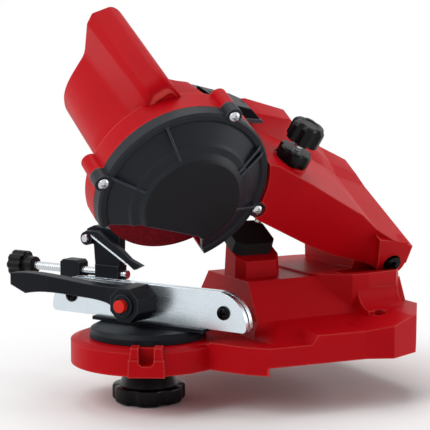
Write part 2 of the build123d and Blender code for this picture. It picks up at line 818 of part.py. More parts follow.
with BuildPart() as pivot_bolt:
    with BuildSketch(on_hinge(far_ear_w - 9)):
        Circle(pivot_d / 2)
    extrude(amount=near_ear_w - 3 - far_ear_w + 9)
    with BuildSketch(on_hinge(near_ear_w - 3)):
        Circle(6.2)
    extrude(amount=5)
    with BuildSketch(on_hinge(near_ear_w - 0.5)):
        RegularPolygon(3, 6)
    extrude(amount=3, mode=Mode.SUBTRACT)
finish(pivot_bolt, "pivot_bolt")

with BuildPart() as pivot_nut:
    with BuildSketch(on_hinge(far_ear_w - 7)):
        RegularPolygon(6.5, 6, major_radius=False)
        Circle(pivot_d / 2, mode=Mode.SUBTRACT)
    extrude(amount=7)
finish(pivot_nut, "pivot_nut")

console = [(32.5, 97.5), (15, 114.5), (20.5, 119.5), (62, 109), (74.5, 97.8)]
with BuildPart() as switch_console:
    with BuildSketch(head_at(0, 0, far_ear_w)):
        with BuildLine():
            Polyline(*console, close=True)
        make_face()
    extrude(amount=33)
    rocker_seat = Plane(
        origin=head_at(41, 114.2, -41.5).origin,
        x_dir=grinding_plane.x_dir * 41.5 - grinding_plane.y_dir * 10.5,
        z_dir=grinding_plane.x_dir * 10.5 + grinding_plane.y_dir * 41.5,
    )
    with BuildSketch(rocker_seat.offset(2)):
        Rectangle(25, 15)
    extrude(amount=-11, mode=Mode.SUBTRACT)
finish(switch_console, "switch_console")

with BuildPart() as switch_rocker:
    with BuildSketch(Plane(origin=rocker_seat.origin, x_dir=rocker_seat.x_dir, z_dir=rocker_seat.y_dir * -1)):
        with BuildLine():
            Polyline((-11.5, 3.2), (0, 0.4), (11.5, 1.2), (9.5, -4.5), (-9.5, -4.5), close=True)
        make_face()
    extrude(amount=6.5, both=True)
    # round stubs on the rocking axis
    with BuildSketch(Plane(origin=rocker_seat.origin - rocker_seat.z_dir * 3, x_dir=rocker_seat.x_dir,
                           z_dir=rocker_seat.y_dir * -1)):
        Circle(1.5)
    extrude(amount=7.2, both=True)
finish(switch_rocker, "switch_rocker")

# ---------------------------------------------------------------- motor and spindle

with BuildPart() as motor_field:
    with BuildSketch(on_spindle(armature_far_w)):
        Circle(stator_r)
        Circle(armature_r + 0.7, mode=Mode.SUBTRACT)
        with PolarLocations(motor_bolt_r, 2):
            Circle(motor_bolt_d / 2 + 0.2, mode=Mode.SUBTRACT)
    extrude(amount=armature_near_w - armature_far_w)
finish(motor_field, "motor_field")

with BuildPart() as field_coils:
    for low, length in ((armature_far_w - 5, 5), (armature_near_w, 2)):
        with BuildSketch(on_spindle(low)):
            Circle(22)
            Circle(16, mode=Mode.SUBTRACT)
            with Locations((motor_bolt_r, 0), (-motor_bolt_r, 0)):
                Rectangle(12, 8, mode=Mode.SUBTRACT)
        extrude(amount=length)
finish(field_coils, "field_coils")

rear_bearing_w = (-80.0, -73.0)
rear_bearing_r = 9.5
with BuildPart() as rear_bracket:
    with BuildSketch(on_spindle(rear_bearing_w[0] - 1)):
        Circle(rear_bearing_r + 3)
    extrude(amount=8)
    with BuildSketch(on_spindle(-75)):
        with BuildLine():
            Polyline((-24, -7), (24, -7), (24, 7), (-24, 7), close=True)
        make_face()
    extrude(amount=3)
    with BuildSketch(on_spindle(rear_bearing_w[0])):
        Circle(rear_bearing_r)
    extrude(amount=20, mode=Mode.SUBTRACT)
    with BuildSketch(on_spindle(-82)):
        Circle(5)
        with PolarLocations(motor_bolt_r, 2):
            Circle(motor_bolt_d / 2)
    extrude(amount=20, mode=Mode.SUBTRACT)
finish(rear_bracket, "rear_bracket")

with BuildPart() as motor_bolts:
    with BuildSketch(on_spindle(-77.5)):
        with PolarLocations(motor_bolt_r, 2):
            Circle(motor_bolt_d / 2)
    extrude(amount=plate_back_w + 77.5)
    with BuildSketch(on_spindle(-78)):
        with PolarLocations(motor_bolt_r, 2):
            Circle(3.4)
    extrude(amount=3)
finish(motor_bolts, "motor_bolts")

with BuildPart() as front_bearing:
    with BuildSketch(on_spindle(bearing_w[0])):
        Circle(bearing_r)
        Circle(spindle_d / 2 + run_gap, mode=Mode.SUBTRACT)
    extrude(amount=bearing_w[1] - bearing_w[0])
finish(front_bearing, "front_bearing")

with BuildPart() as rear_bearing:
    with BuildSketch(on_spindle(rear_bearing_w[0])):
        Circle(rear_bearing_r)
        Circle(rear_journal_d / 2 + run_gap, mode=Mode.SUBTRACT)
    extrude(amount=rear_bearing_w[1] - rear_bearing_w[0])
finish(rear_bearing, "rear_bearing")

with BuildPart() as brush_holders:
    with BuildSketch(on_spindle(-71)):
        with Locations((0, 16), (0, -16)):
            Rectangle(7, 11)
    extrude(amount=7)
finish(brush_holders, "brush_holders")

wheel_half = wheel_t / 2
with BuildPart() as spindle:
    with BuildSketch(on_spindle(rear_bearing_w[0])):
        Circle(rear_journal_d / 2)
    extrude(amount=rear_bearing_w[1] - rear_bearing_w[0])
    with BuildSketch(on_spindle(rear_bearing_w[1])):
        Circle(spindle_d / 2)
    extrude(amount=16 - rear_bearing_w[1])
    chamfer(spindle.faces().sort_by(Axis(on_spindle(0).origin, spindle_dir))[-1].edges(), 1)
finish(spindle, "spindle")

with BuildPart() as armature:
    with BuildSketch(on_spindle(armature_far_w)):
        Circle(armature_r)
        Circle(spindle_d / 2, mode=Mode.SUBTRACT)
        with PolarLocations(armature_r, 9):
            Rectangle(5, 2, mode=Mode.SUBTRACT)
    extrude(amount=armature_near_w - armature_far_w)
finish(armature, "armature")

with BuildPart() as commutator:
    with BuildSketch(on_spindle(-70)):
        Circle(10)
        Circle(spindle_d / 2, mode=Mode.SUBTRACT)
    extrude(amount=9)
finish(commutator, "commutator")

with BuildPart() as cooling_fan:
    with BuildSketch(on_spindle(-19)):
        Circle(fan_r)
        Circle(spindle_d / 2, mode=Mode.SUBTRACT)
    extrude(amount=1.5)
    with BuildSketch(on_spindle(-25)):
        Circle(8)
        Circle(spindle_d / 2, mode=Mode.SUBTRACT)
        with PolarLocations(12, 7):
            Rectangle(10, 1.4, rotation=18)
    extrude(amount=6)
finish(cooling_fan, "cooling_fan")

with BuildPart() as inner_flange:
    with BuildSketch(on_spindle(-wheel_half - flange_t)):
        Circle(flange_d / 2)
    extrude(amount=flange_t)
    with BuildSketch(on_spindle(-wheel_half)):
        Circle(wheel_bore_d / 2)
    extrude(amount=wheel_t - 0.2)
    with BuildSketch(on_spindle(-20)):
        Circle(spindle_d / 2)
    extrude(amount=40, mode=Mode.SUBTRACT)
finish(inner_flange, "inner_flange")

with BuildPart() as outer_flange:
    with BuildSketch(on_spindle(wheel_half)):
        Circle(flange_d / 2)
        Circle(spindle_d / 2, mode=Mode.SUBTRACT)
    extrude(amount=flange_t)
finish(outer_flange, "outer_flange")

with BuildPart() as spindle_nut:
    with BuildSketch(on_spindle(wheel_half + flange_t)):
        RegularPolygon(nut_af / 2, 6, major_radius=False)
        Circle(spindle_d / 2, mode=Mode.SUBTRACT)
    extrude(amount=8)
finish(spindle_nut, "spindle_nut")

with BuildPart() as grinding_wheel:
    with BuildSketch(on_spindle(-wheel_half)):
        Circle(wheel_d / 2)
        Circle(wheel_bore_d / 2, mode=Mode.SUBTRACT)
    extrude(amount=wheel_t)
finish(grinding_wheel, "grinding_wheel")

# ---------------------------------------------------------------- depth stop

with BuildPart() as depth_rod:
    with BuildSketch(on_rod(0)):
        Circle(rod_d / 2)
    extrude(amount=rod_length)
    chamfer(depth_rod.edges().sort_by(Axis(on_rod(0).origin, rod_up))[0], 1)
finish(depth_rod, "depth_rod")

with BuildPart() as depth_lock_knob:
    with BuildSketch(on_rod(seat_h + loose_gap)):
        Circle(stop_knob_r)
        with PolarLocations(stop_knob_r + 2, 6):
            Circle(4, mode=Mode.SUBTRACT)
        Circle(rod_d / 2 + run_gap, mode=Mode.SUBTRACT)
    extrude(amount=lock_knob_h)
finish(depth_lock_knob, "depth_lock_knob")

with BuildPart() as depth_knob:
    with BuildSketch(on_rod(depth_knob_low_h)):
        Circle(stop_knob_r)
        with PolarLocations(stop_knob_r + 2, 6):
            Circle(4, mode=Mode.SUBTRACT)
    extrude(amount=depth_knob_h)
    with BuildSketch(on_rod(depth_knob_low_h - 1)):
        Circle(rod_d / 2 + run_gap)
    extrude(amount=rod_length - depth_knob_low_h + 1 + loose_gap, mode=Mode.SUBTRACT)
finish(depth_knob, "depth_knob")

# ---------------------------------------------------------------- vice

with BuildPart() as turntable:
    with BuildSketch(Plane.XZ.offset(-turntable_y)):
        with BuildLine():
            Polyline(
                (0, -4), (spigot_r, -4), (spigot_r, turntable_low_z), (turntable_r, turntable_low_z),
                (turntable_r, turntable_low_z + 4.5), (turntable_r - 4, turntable_top_z), (0, turntable_top_z),
                close=True,
            )
        make_face()
    revolve(axis=Axis((0, turntable_y, 0), (0, 0, 1)))
    # the sector that carries the scale stands out from the edge
    for low, rise, lean in ((turntable_low_z, 3.5, 0), (turntable_low_z + 3.5, 3, 35)):
        with BuildSketch(on_turntable(low)):
            Circle(scale_r)
            Polygon((0, 0), (-8, -60), (60, -60), (60, 42), align=None, mode=Mode.INTERSECT)
        extrude(amount=rise, taper=lean)
    with BuildSketch(on_turntable(-5)):
        Circle(lock_stud_d / 2)
    extrude(amount=17, mode=Mode.SUBTRACT)
finish(turntable, "turntable")

rear_d = -slot_half - rail_t
rail_height = rail_top_z - rail_low_z
rail_screw_spots = [(rail_screw_s, rail_screw_z), (-rail_screw_s, rail_screw_z)]
with BuildSketch() as rail_blank:
    with Locations((0, rail_low_z + rail_height / 2)):
        blank = Rectangle(2 * rail_half, rail_height)
    fillet(blank.vertices().group_by(Axis.Y)[-1], rail_end_r)
    fillet(rail_blank.vertices().group_by(Axis.Y)[0], rail_foot_r)
with BuildPart() as rail_holder:
    with BuildSketch(vice_at(0, 0, -18)):
        with BuildLine():
            Polyline(
                (-42, turntable_top_z), (49, turntable_top_z), (49, rail_low_z), (-42, rail_low_z), close=True,
            )
        make_face()
    extrude(amount=26)
    with BuildSketch(vice_at(0, 0, -16)):
        with BuildLine():
            Polyline((-40, rail_low_z), (46, rail_low_z), (40, 42), (-34, 42), close=True)
        make_face()
    extrude(amount=16 + rear_d)
    with BuildSketch(vice_at(clamp_s, clamp_z, -17)):
        Circle(clamp_d / 2)
    extrude(amount=20, mode=Mode.SUBTRACT)
finish(rail_holder, "rail_holder")

with BuildPart() as rear_rail:
    with BuildSketch(vice_at(0, 0, rear_d)):
        add(rail_blank.sketch)
        with Locations(*rail_screw_spots):
            Circle(rail_screw_d / 2, mode=Mode.SUBTRACT)
        with Locations((clamp_s, clamp_z)):
            Circle(clamp_d / 2, mode=Mode.SUBTRACT)
    extrude(amount=rail_t)
finish(rear_rail, "rear_rail")

with BuildPart() as front_rail:
    with BuildSketch(vice_at(0, 0, slot_half)):
        add(rail_blank.sketch)
        with Locations(*rail_screw_spots):
            Circle(rail_screw_d / 2 + run_gap, mode=Mode.SUBTRACT)
        with Locations((clamp_s, clamp_z)):
            Circle(clamp_d / 2 + run_gap, mode=Mode.SUBTRACT)
    extrude(amount=rail_t)
finish(front_rail, "front_rail")

screw_seat_d = slot_half + rail_t + loose_gap
with BuildPart() as rail_screws:
    with BuildSketch(vice_at(0, 0, rear_d - 3)):
        with Locations(*rail_screw_spots):
            Circle(rail_screw_d / 2)
    extrude(amount=screw_seat_d - rear_d + 3)
    with BuildSketch(vice_at(0, 0, screw_seat_d)):
        with Locations(*rail_screw_spots):
            Circle(4.8)
    extrude(amount=3, taper=15)
    with BuildSketch(vice_at(0, 0, rear_d - 4)):
        with Locations(*rail_screw_spots):
            RegularPolygon(5, 6, major_radius=False)
    extrude(amount=4)
finish(rail_screws, "rail_screws")

with BuildPart() as clamp_stud:
    with BuildSketch(vice_at(clamp_s, clamp_z, -16)):
        Circle(clamp_d / 2)
    extrude(amount=37)
    with BuildSketch(vice_at(clamp_s, clamp_z, -20)):
        RegularPolygon(6.5, 6, major_radius=False)
    extrude(amount=4)
finish(clamp_stud, "clamp_stud")

with BuildPart() as feed_bracket:
    with BuildSketch(vice_at(0, 0, rear_d - feed_block_t)):
        with BuildLine():
            Polyline(
                (-80, 40), (-80, feed_z + 5.5), (-77.5, feed_z + 7.5), (-65, feed_z + 7.5), (-63, feed_z + 5.5),
                (-63, 44), (-54, 40), (-54, 27), (-70, 27), close=True,
            )
        make_face()
    extrude(amount=feed_block_t)
    with BuildSketch(across_rail(-110, feed_z, feed_d_off)):
        Circle(feed_rod_d / 2 + run_gap)
    extrude(amount=60, mode=Mode.SUBTRACT)
    with BuildSketch(vice_at(-rail_screw_s, rail_screw_z, rear_d - 20)):
        RegularPolygon(5.5, 6, major_radius=False)
    extrude(amount=20, mode=Mode.SUBTRACT)
finish(feed_bracket, "feed_bracket")

with BuildPart() as feed_screw:
    with BuildSketch(across_rail(feed_near_s + feed_knob_t, feed_z, feed_d_off)):
        Circle(feed_rod_d / 2)
    extrude(amount=feed_end_s - feed_near_s - feed_knob_t)
finish(feed_screw, "feed_screw")

with BuildPart() as feed_knob:
    with BuildSketch(across_rail(feed_near_s, feed_z, feed_d_off)):
        Circle(feed_knob_r)
        with PolarLocations(feed_knob_r + 1.6, 9):
            Circle(2.6, mode=Mode.SUBTRACT)
    extrude(amount=feed_knob_t)
    with BuildSketch(across_rail(feed_near_s + feed_knob_t, feed_z, feed_d_off)):
        Circle(6.5)
        Circle(feed_rod_d / 2, mode=Mode.SUBTRACT)
    extrude(amount=8)
finish(feed_knob, "feed_knob")

with BuildPart() as stop_carriage:
    # block that rides on the feed screw behind the rail
    with BuildSketch(vice_at(0, 0, rear_d - loose_gap - carriage_t)):
        with BuildLine():
            Polyline((-49, feed_z - 5.2), (-29, feed_z - 5.2), (-29, feed_z + 6), (-49, feed_z + 6), close=True)
        make_face()
    extrude(amount=carriage_t)
    # post that holds the pawl up
    with BuildSketch(vice_at(0, 0, rear_d - loose_gap - post_t)):
        with BuildLine():
            Polyline(
                (-49, feed_z), (-29, feed_z), (-28, 76), (-31, 80.5), (-50, 83), (-56, 80.5),
                (-58, 76), (-56, 70.5), (-50.5, 69.5), close=True,
            )
        make_face()
    extrude(amount=7)
    with BuildSketch(across_rail(-60, feed_z, feed_d_off)):
        Circle(feed_rod_d / 2 + run_gap)
    extrude(amount=40, mode=Mode.SUBTRACT)
    with BuildSketch(vice_at(pawl_s, pawl_z, -16)):
        Circle(pawl_pin_d / 2)
    extrude(amount=20, mode=Mode.SUBTRACT)
finish(stop_carriage, "stop_carriage")

with BuildPart() as pawl_pin:
    with BuildSketch(vice_at(pawl_s, pawl_z, rear_d - loose_gap - post_t)):
        Circle(pawl_pin_d / 2)
    extrude(amount=2.5 - rear_d + loose_gap + post_t)
    with BuildSketch(vice_at(pawl_s, pawl_z, 2.5)):
        Circle(3)
    extrude(amount=1.5, taper=20)
finish(pawl_pin, "pawl_pin")

pawl_low_edge = [(-47.4, 77.4), (-17.3, 60.1)]
with BuildPart() as pawl:
    with BuildSketch(vice_at(0, 0, -2)):
        with BuildLine():
            Polyline(
                (-52, 79.8), (-42.3, 80.1), (-21.1, 68.2), (-14.1, 62.6), (-4, 58.6), (-10.4, 55.4),
                pawl_low_edge[1], pawl_low_edge[0], (-49, 71), (-55, 72), close=True,
            )
        make_face()
        with Locations((pawl_s, pawl_z)):
            Circle(4.8)
            Circle(pawl_pin_d / 2 + run_gap, mode=Mode.SUBTRACT)
    extrude(amount=4)
finish(pawl, "pawl")

# steel edge along the underside of the pawl
with BuildPart() as pawl_blade:
    with BuildSketch(vice_at(0, 0, -2)):
        with BuildLine():
            Polyline(*pawl_low_edge, (-18.3, 59.2), (-46.3, 75.4), close=True)
        make_face()
    extrude(amount=4)
finish(pawl_blade, "pawl_blade")

lever_low = slot_half + rail_t + loose_gap
with BuildPart() as clamp_lever:
    # side view of the arm, then its plan: it stands further out towards the grip
    with BuildSketch(vice_at(0, 0, lever_low)):
        with BuildLine():
            upper = Spline((-91, 51.5), (-75, 52.5), (-40, 48.5), (-4, 47))
            right = Line(upper @ 1, (-4, 25))
            lower = Spline(right @ 1, (-14, 33.5), (-38, 38.4), (-65, 40), (-79, 38))
            Polyline(lower @ 1, (-91, 43.5), upper @ 0)
        make_face()
    extrude(amount=40)
    with BuildSketch(Plane(origin=vice_at(0, 10, 0).origin, x_dir=rail_dir, z_dir=(0, 0, 1))):
        with BuildLine():
            Polyline(
                (10, -12), (-18, -12), (-60, -24), (-92, -30), (-92, -37), (-60, -33), (-18, -23), (10, -23),
                close=True,
            )
        make_face()
    extrude(amount=60, mode=Mode.INTERSECT)
    with BuildSketch(vice_at(clamp_s, clamp_z, lever_low)):
        RegularPolygon(clamp_hub_r, 8, major_radius=False, rotation=22.5)
    extrude(amount=clamp_hub_len - 2, taper=2)
    with BuildSketch(vice_at(clamp_s, clamp_z, lever_low + clamp_hub_len - 2)):
        Circle(button_r + 3.4)
    extrude(amount=2)
    with BuildSketch(vice_at(clamp_s, clamp_z, lever_low - 1)):
        Circle(lever_insert_r)
    extrude(amount=lever_insert_t + 1, mode=Mode.SUBTRACT)
    with BuildSketch(vice_at(clamp_s, clamp_z, lever_low + lever_insert_t)):
        Circle(button_r + loose_gap)
    extrude(amount=30, mode=Mode.SUBTRACT)
finish(clamp_lever, "clamp_lever")

with BuildPart() as lever_insert:
    with BuildSketch(vice_at(clamp_s, clamp_z, lever_low)):
        Circle(lever_insert_r)
        Circle(clamp_d / 2 + run_gap, mode=Mode.SUBTRACT)
    extrude(amount=lever_insert_t)
finish(lever_insert, "lever_insert")

button_low = lever_low + lever_insert_t + 6
with BuildPart() as release_button:
    with BuildSketch(vice_at(clamp_s, clamp_z, button_low)):
        Circle(button_r)
    extrude(amount=31.5 - button_low)
finish(release_button, "release_button")

# ---------------------------------------------------------------- vice lock under the base

with BuildPart() as lock_stud:
    with BuildSketch(on_turntable(lock_knob_low_z + 6)):
        Circle(lock_stud_d / 2)
    extrude(amount=12 - lock_knob_low_z - 6)
finish(lock_stud, "lock_stud")

with BuildPart() as lock_washer:
    with BuildSketch(on_turntable(-lip_drop - washer_t - run_gap)):
        Circle(16)
        Circle(lock_stud_d / 2 + run_gap, mode=Mode.SUBTRACT)
    extrude(amount=washer_t)
finish(lock_washer, "lock_washer")

with BuildPart() as lock_knob:
    with BuildSketch(on_turntable(lock_knob_low_z)):
        Circle(lock_knob_r)
        with PolarLocations(lock_knob_r + 6, 7):
            Circle(8, mode=Mode.SUBTRACT)
    extrude(amount=lock_rim_t)
    with BuildSketch(on_turntable(lock_knob_low_z + lock_rim_t)):
        Circle(20)
    extrude(amount=-lip_drop - washer_t - run_gap - loose_gap - lock_knob_low_z - lock_rim_t, taper=20)
    with BuildSketch(on_turntable(lock_knob_low_z + 4)):
        Circle(lock_stud_d / 2 + run_gap)
    extrude(amount=40, mode=Mode.SUBTRACT)
finish(lock_knob, "lock_knob")
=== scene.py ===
from math import atan, cos, pi, radians, sin, sqrt

import bmesh
import bpy
from mathutils import Matrix, Vector


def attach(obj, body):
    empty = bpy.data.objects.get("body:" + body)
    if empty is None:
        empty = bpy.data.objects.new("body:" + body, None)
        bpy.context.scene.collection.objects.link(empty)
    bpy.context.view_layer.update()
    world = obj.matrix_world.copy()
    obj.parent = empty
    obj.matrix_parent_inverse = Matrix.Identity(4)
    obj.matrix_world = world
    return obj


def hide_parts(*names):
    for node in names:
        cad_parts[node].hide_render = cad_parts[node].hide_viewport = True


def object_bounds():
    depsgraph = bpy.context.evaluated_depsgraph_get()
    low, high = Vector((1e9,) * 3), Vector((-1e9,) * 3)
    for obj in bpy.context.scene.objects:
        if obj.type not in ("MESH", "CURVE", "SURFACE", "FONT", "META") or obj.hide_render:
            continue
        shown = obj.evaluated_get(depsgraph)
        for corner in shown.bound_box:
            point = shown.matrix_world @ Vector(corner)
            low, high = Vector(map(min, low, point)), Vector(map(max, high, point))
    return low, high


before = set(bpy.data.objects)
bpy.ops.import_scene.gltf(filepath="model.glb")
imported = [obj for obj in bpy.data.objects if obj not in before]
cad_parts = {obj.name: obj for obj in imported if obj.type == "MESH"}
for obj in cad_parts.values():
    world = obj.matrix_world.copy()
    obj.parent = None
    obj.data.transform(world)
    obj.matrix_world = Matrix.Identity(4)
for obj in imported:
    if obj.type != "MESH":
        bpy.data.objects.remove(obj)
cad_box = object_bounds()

MM = 0.001


# ---------------------------------------------------------------- small helpers

def linear(code):
    """A hex colour, as a linear colour with full alpha."""
    parts = [int(code[i:i + 2], 16) / 255 for i in (1, 3, 5)]
    return [c / 12.92 if c <= 0.04045 else ((c + 0.055) / 1.055) ** 2.4 for c in parts] + [1.0]


def put(tree, kind, settings=(), links=()):
    """Adds a node. A setting is a property or a socket's value; a link feeds a socket."""
    made = tree.nodes.new(kind)
    for key, value in dict(settings).items():
        if isinstance(key, str) and hasattr(made, key):
            setattr(made, key, value)
        else:
            made.inputs[key].default_value = value
    for key, source in dict(links).items():
        tree.links.new(source, made.inputs[key])
    return made


def per_mm(size):
    """Texture scale at which one cell of a pattern is this many millimetres across."""
    return 1 / (size * MM)


def blank_material(name):
    material = bpy.data.materials.new(name)
    material.use_nodes = True
    material.node_tree.nodes.clear()
    return material, material.node_tree


def linked(name, data):
    """An object of this mesh, curve, lamp or camera, linked to the scene."""
    obj = bpy.data.objects.new(name, data)
    bpy.context.scene.collection.objects.link(obj)
    return obj


def plain_mesh(maker):
    """The mesh that an object comes to with its modifiers; the object itself goes."""
    bpy.context.view_layer.update()
    mesh = bpy.data.meshes.new_from_object(maker.evaluated_get(bpy.context.evaluated_depsgraph_get()))
    bpy.data.objects.remove(maker)
    return mesh


# ---------------------------------------------------------------- the machine's own axes, in millimetres

# the spindle dips, and the rail is turned in plan, by the same angle
tilt = radians(30)
spindle_dir = Vector((cos(tilt), 0, -sin(tilt)))
head_up = Vector((sin(tilt), 0, cos(tilt)))
rail_dir = Vector((cos(tilt), sin(tilt), 0))
rail_out = Vector((sin(tilt), -cos(tilt), 0))
# the depth rod leans to the rear in the grinding plane
lean = radians(13)
rearward = Vector((0, 1, 0))
rod_up = head_up * cos(lean) + rearward * sin(lean)
# the vice's axis on the bench, and the height above it at which the wheel grinds
swivel = Vector((0, -146, 0))
grinding_height = 58.5
spindle_u, spindle_v = 3.8, 72.3
rod_foot_u, rod_foot_v = 75.7, 32.4


def on_head(u, v, w):
    """A point of the grinding plane's frame: u to the rear, v up, w out of the wheel."""
    return swivel + Vector((0, u, grinding_height)) + head_up * v + spindle_dir * w


def on_vice(s, z, d):
    """A point of the vice: s along the rail, z up, d out of its slot to the operator."""
    return swivel + rail_dir * s + rail_out * d + Vector((0, 0, z))


def on_rod(h):
    """A point of the depth rod's axis, h up from its foot."""
    return on_head(rod_foot_u, rod_foot_v, 0) + rod_up * h


def stand(origin, x_dir, z_dir):
    """Matrix that takes millimetres on these axes to metres in the frame."""
    z = Vector(z_dir).normalized()
    x = Vector(x_dir).normalized()
    y = z.cross(x)
    turn = Matrix((x, y, z)).transposed().to_4x4()
    return Matrix.Scale(MM, 4) @ Matrix.Translation(origin) @ turn


def piece(name, mesh, body, slot, finish, *stands_for):
    """Puts a finished mesh on its body, in place of CAD nodes if any are named."""
    mesh.materials.clear()
    mesh.materials.append(finish)
    obj = linked(name, mesh)
    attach(obj, body)
    if stands_for:
        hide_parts(*stands_for)


def baked(mesh, *steps):
    """The mesh after these modifiers, each a kind with its settings."""
    maker = linked(mesh.name + "_maker", mesh)
    for kind, settings in steps:
        made = maker.modifiers.new(kind.lower(), kind)
        for key, value in settings.items():
            setattr(made, key, value)
    return plain_mesh(maker)


def shaded(mesh, sharp):
    """Smooth corners beside faces that stay flat, and edges sharper than this angle left crisp."""
    mesh.shade_smooth()
    mesh.set_sharp_from_angle(angle=radians(sharp))
    return baked(mesh, ("WEIGHTED_NORMAL", {"keep_sharp": True}))


def rings_mesh(name, rings, place, sharp=32):
    """A closed mesh from rings of as many points each, (x, y, z) in millimetres on the axes of its place."""
    made = bmesh.new()
    loops = [[made.verts.new(place @ Vector(p)) for p in ring] for ring in rings]
    count = len(loops[0])
    for low, high in zip(loops[:-1], loops[1:]):
        for i in range(count):
            j = (i + 1) % count
            made.faces.new((low[i], low[j], high[j], high[i]))
    for loop, turned in ((loops[0], True), (loops[-1], False)):
        middle = sum((v.co for v in loop), Vector()) / count
        hub = made.verts.new(middle)
        for i in range(count):
            j = (i + 1) % count
            made.faces.new((hub, loop[j], loop[i]) if turned else (hub, loop[i], loop[j]))
    bmesh.ops.remove_doubles(made, verts=made.verts, dist=1e-7)
    bmesh.ops.recalc_face_normals(made, faces=made.faces)
    mesh = bpy.data.meshes.new(name)
    made.to_mesh(mesh)
    made.free()
    return shaded(mesh, sharp)


def prism(name, outline, low, high, place):
    """A solid of one flat outline, from one height to another."""
    return rings_mesh(name, [[(x, y, h) for x, y in outline] for h in (low, high)], place)


def cut_out(mesh, cutters, sharp=32):
    """The mesh with each cutter's volume taken away."""
    makers = [linked("cutter_maker", cutter) for cutter in cutters]
    result = baked(mesh, *[("BOOLEAN", {"operation": "DIFFERENCE", "object": maker}) for maker in makers])
    for maker in makers:
        bpy.data.objects.remove(maker)
    return shaded(result, sharp)


# ---------------------------------------------------------------- materials

# how wide the slow drifts of tone are
plastic_cloud_mm, metal_cloud_mm = 28, 16
# how far roughness strays: both ways on plastic, and smoother and rougher on metal
plastic_drift, metal_smoother, metal_rougher = 0.05, 0.07, 0.09
metal_edge_mm = 0.3


def moulded(name, colour, shade, edge_highlight, grain_mm, grain_depth, roughness, edge_mm, gleam=0.14, pad=None):
    """Injection moulded plastic: an even colour, a fine spark texture, softened edges with a painted highlight.

    A pad is (middle, radius, colour) of a round area painted in another colour, which carries painted shade.
    """
    material, tree = blank_material(name)
    place = put(tree, "ShaderNodeTexCoord").outputs["Object"]
    edge = put(tree, "ShaderNodeBevel", {"samples": 6, "Radius": edge_mm * MM})
    grain = put(tree, "ShaderNodeTexNoise", {"Scale": per_mm(grain_mm), "Detail": 3.0}, {"Vector": place})
    cloud = put(tree, "ShaderNodeTexNoise", {"Scale": per_mm(plastic_cloud_mm), "Detail": 4.0}, {"Vector": place})
    tone = put(
        tree, "ShaderNodeMix", {"data_type": "RGBA", 6: linear(colour), 7: linear(shade)},
        {0: cloud.outputs["Fac"]},
    )
    if pad:
        # the pad is painted shade: its round area gets a darker colour
        middle, radius, painted_shade_colour = pad
        soft_mm = 0.4
        off = put(tree, "ShaderNodeVectorMath", {"operation": "DISTANCE", 1: middle * MM}, {0: place})
        in_painted_shade = put(
            tree, "ShaderNodeMapRange",
            {"From Min": (radius + soft_mm) * MM, "From Max": (radius - soft_mm) * MM},
            {"Value": off.outputs["Value"]},
        )
        tone = put(
            tree, "ShaderNodeMix", {"data_type": "RGBA", 7: linear(painted_shade_colour)},
            {0: in_painted_shade.outputs["Result"], 6: tone.outputs[2]},
        )
    # rays sent into the solid come out again beside an outward edge, which gets a painted highlight up to three
    # quarters of the way to its highlight colour
    highlight_reach_mm = edge_mm * 1.6
    corner = put(
        tree, "ShaderNodeAmbientOcclusion",
        {"inside": True, "only_local": True, "samples": 8, "Distance": highlight_reach_mm * MM},
    )
    painted_edge_highlight = put(
        tree, "ShaderNodeMapRange", {"From Min": 0.85, "From Max": 0.35, "To Min": 0.0, "To Max": 0.75},
        {"Value": corner.outputs["AO"]},
    )
    tone = put(
        tree, "ShaderNodeMix", {"data_type": "RGBA", 7: linear(edge_highlight)},
        {0: painted_edge_highlight.outputs["Result"], 6: tone.outputs[2]},
    )
    gloss = put(
        tree, "ShaderNodeMapRange", {"To Min": roughness - plastic_drift, "To Max": roughness + plastic_drift},
        {"Value": cloud.outputs["Fac"]},
    )
    relief = put(
        tree, "ShaderNodeBump", {"Strength": 0.3, "Distance": grain_depth * MM},
        {"Height": grain.outputs["Fac"], "Normal": edge.outputs["Normal"]},
    )
    skin = put(
        tree, "ShaderNodeBsdfPrincipled", {"IOR": 1.5, "Specular IOR Level": gleam},
        {"Base Color": tone.outputs[2], "Roughness": gloss.outputs["Result"], "Normal": relief.outputs["Normal"]},
    )
    put(tree, "ShaderNodeOutputMaterial", {}, {"Surface": skin.outputs["BSDF"]})
    return material


def metal(name, colour, shade, roughness, grain_mm, stretch=(1, 1, 1), turn=(0, 0, 0), grain_depth=0.015):
    """Bare or plated metal with a fine crystalline finish, or a drawn one where the grain is stretched."""
    material, tree = blank_material(name)
    place = put(tree, "ShaderNodeTexCoord").outputs["Object"]
    edge = put(tree, "ShaderNodeBevel", {"samples": 6, "Radius": metal_edge_mm * MM})
    turned = put(tree, "ShaderNodeMapping", {"Rotation": turn}, {"Vector": place})
    drawn = put(tree, "ShaderNodeMapping", {"Scale": stretch}, {"Vector": turned.outputs["Vector"]})
    grain = put(
        tree, "ShaderNodeTexNoise", {"Scale": per_mm(grain_mm), "Detail": 4.0}, {"Vector": drawn.outputs["Vector"]},
    )
    cloud = put(tree, "ShaderNodeTexNoise", {"Scale": per_mm(metal_cloud_mm), "Detail": 3.0}, {"Vector": place})
    tone = put(
        tree, "ShaderNodeMix", {"data_type": "RGBA", 6: linear(colour), 7: linear(shade)},
        {0: cloud.outputs["Fac"]},
    )
    gloss = put(
        tree, "ShaderNodeMapRange", {"To Min": roughness - metal_smoother, "To Max": roughness + metal_rougher},
        {"Value": grain.outputs["Fac"]},
    )
    relief = put(
        tree, "ShaderNodeBump", {"Strength": 0.35, "Distance": grain_depth * MM},
        {"Height": grain.outputs["Fac"], "Normal": edge.outputs["Normal"]},
    )
    skin = put(
        tree, "ShaderNodeBsdfPrincipled", {"Metallic": 1.0},
        {"Base Color": tone.outputs[2], "Roughness": gloss.outputs["Result"], "Normal": relief.outputs["Normal"]},
    )
    put(tree, "ShaderNodeOutputMaterial", {}, {"Surface": skin.outputs["BSDF"]})
    return material


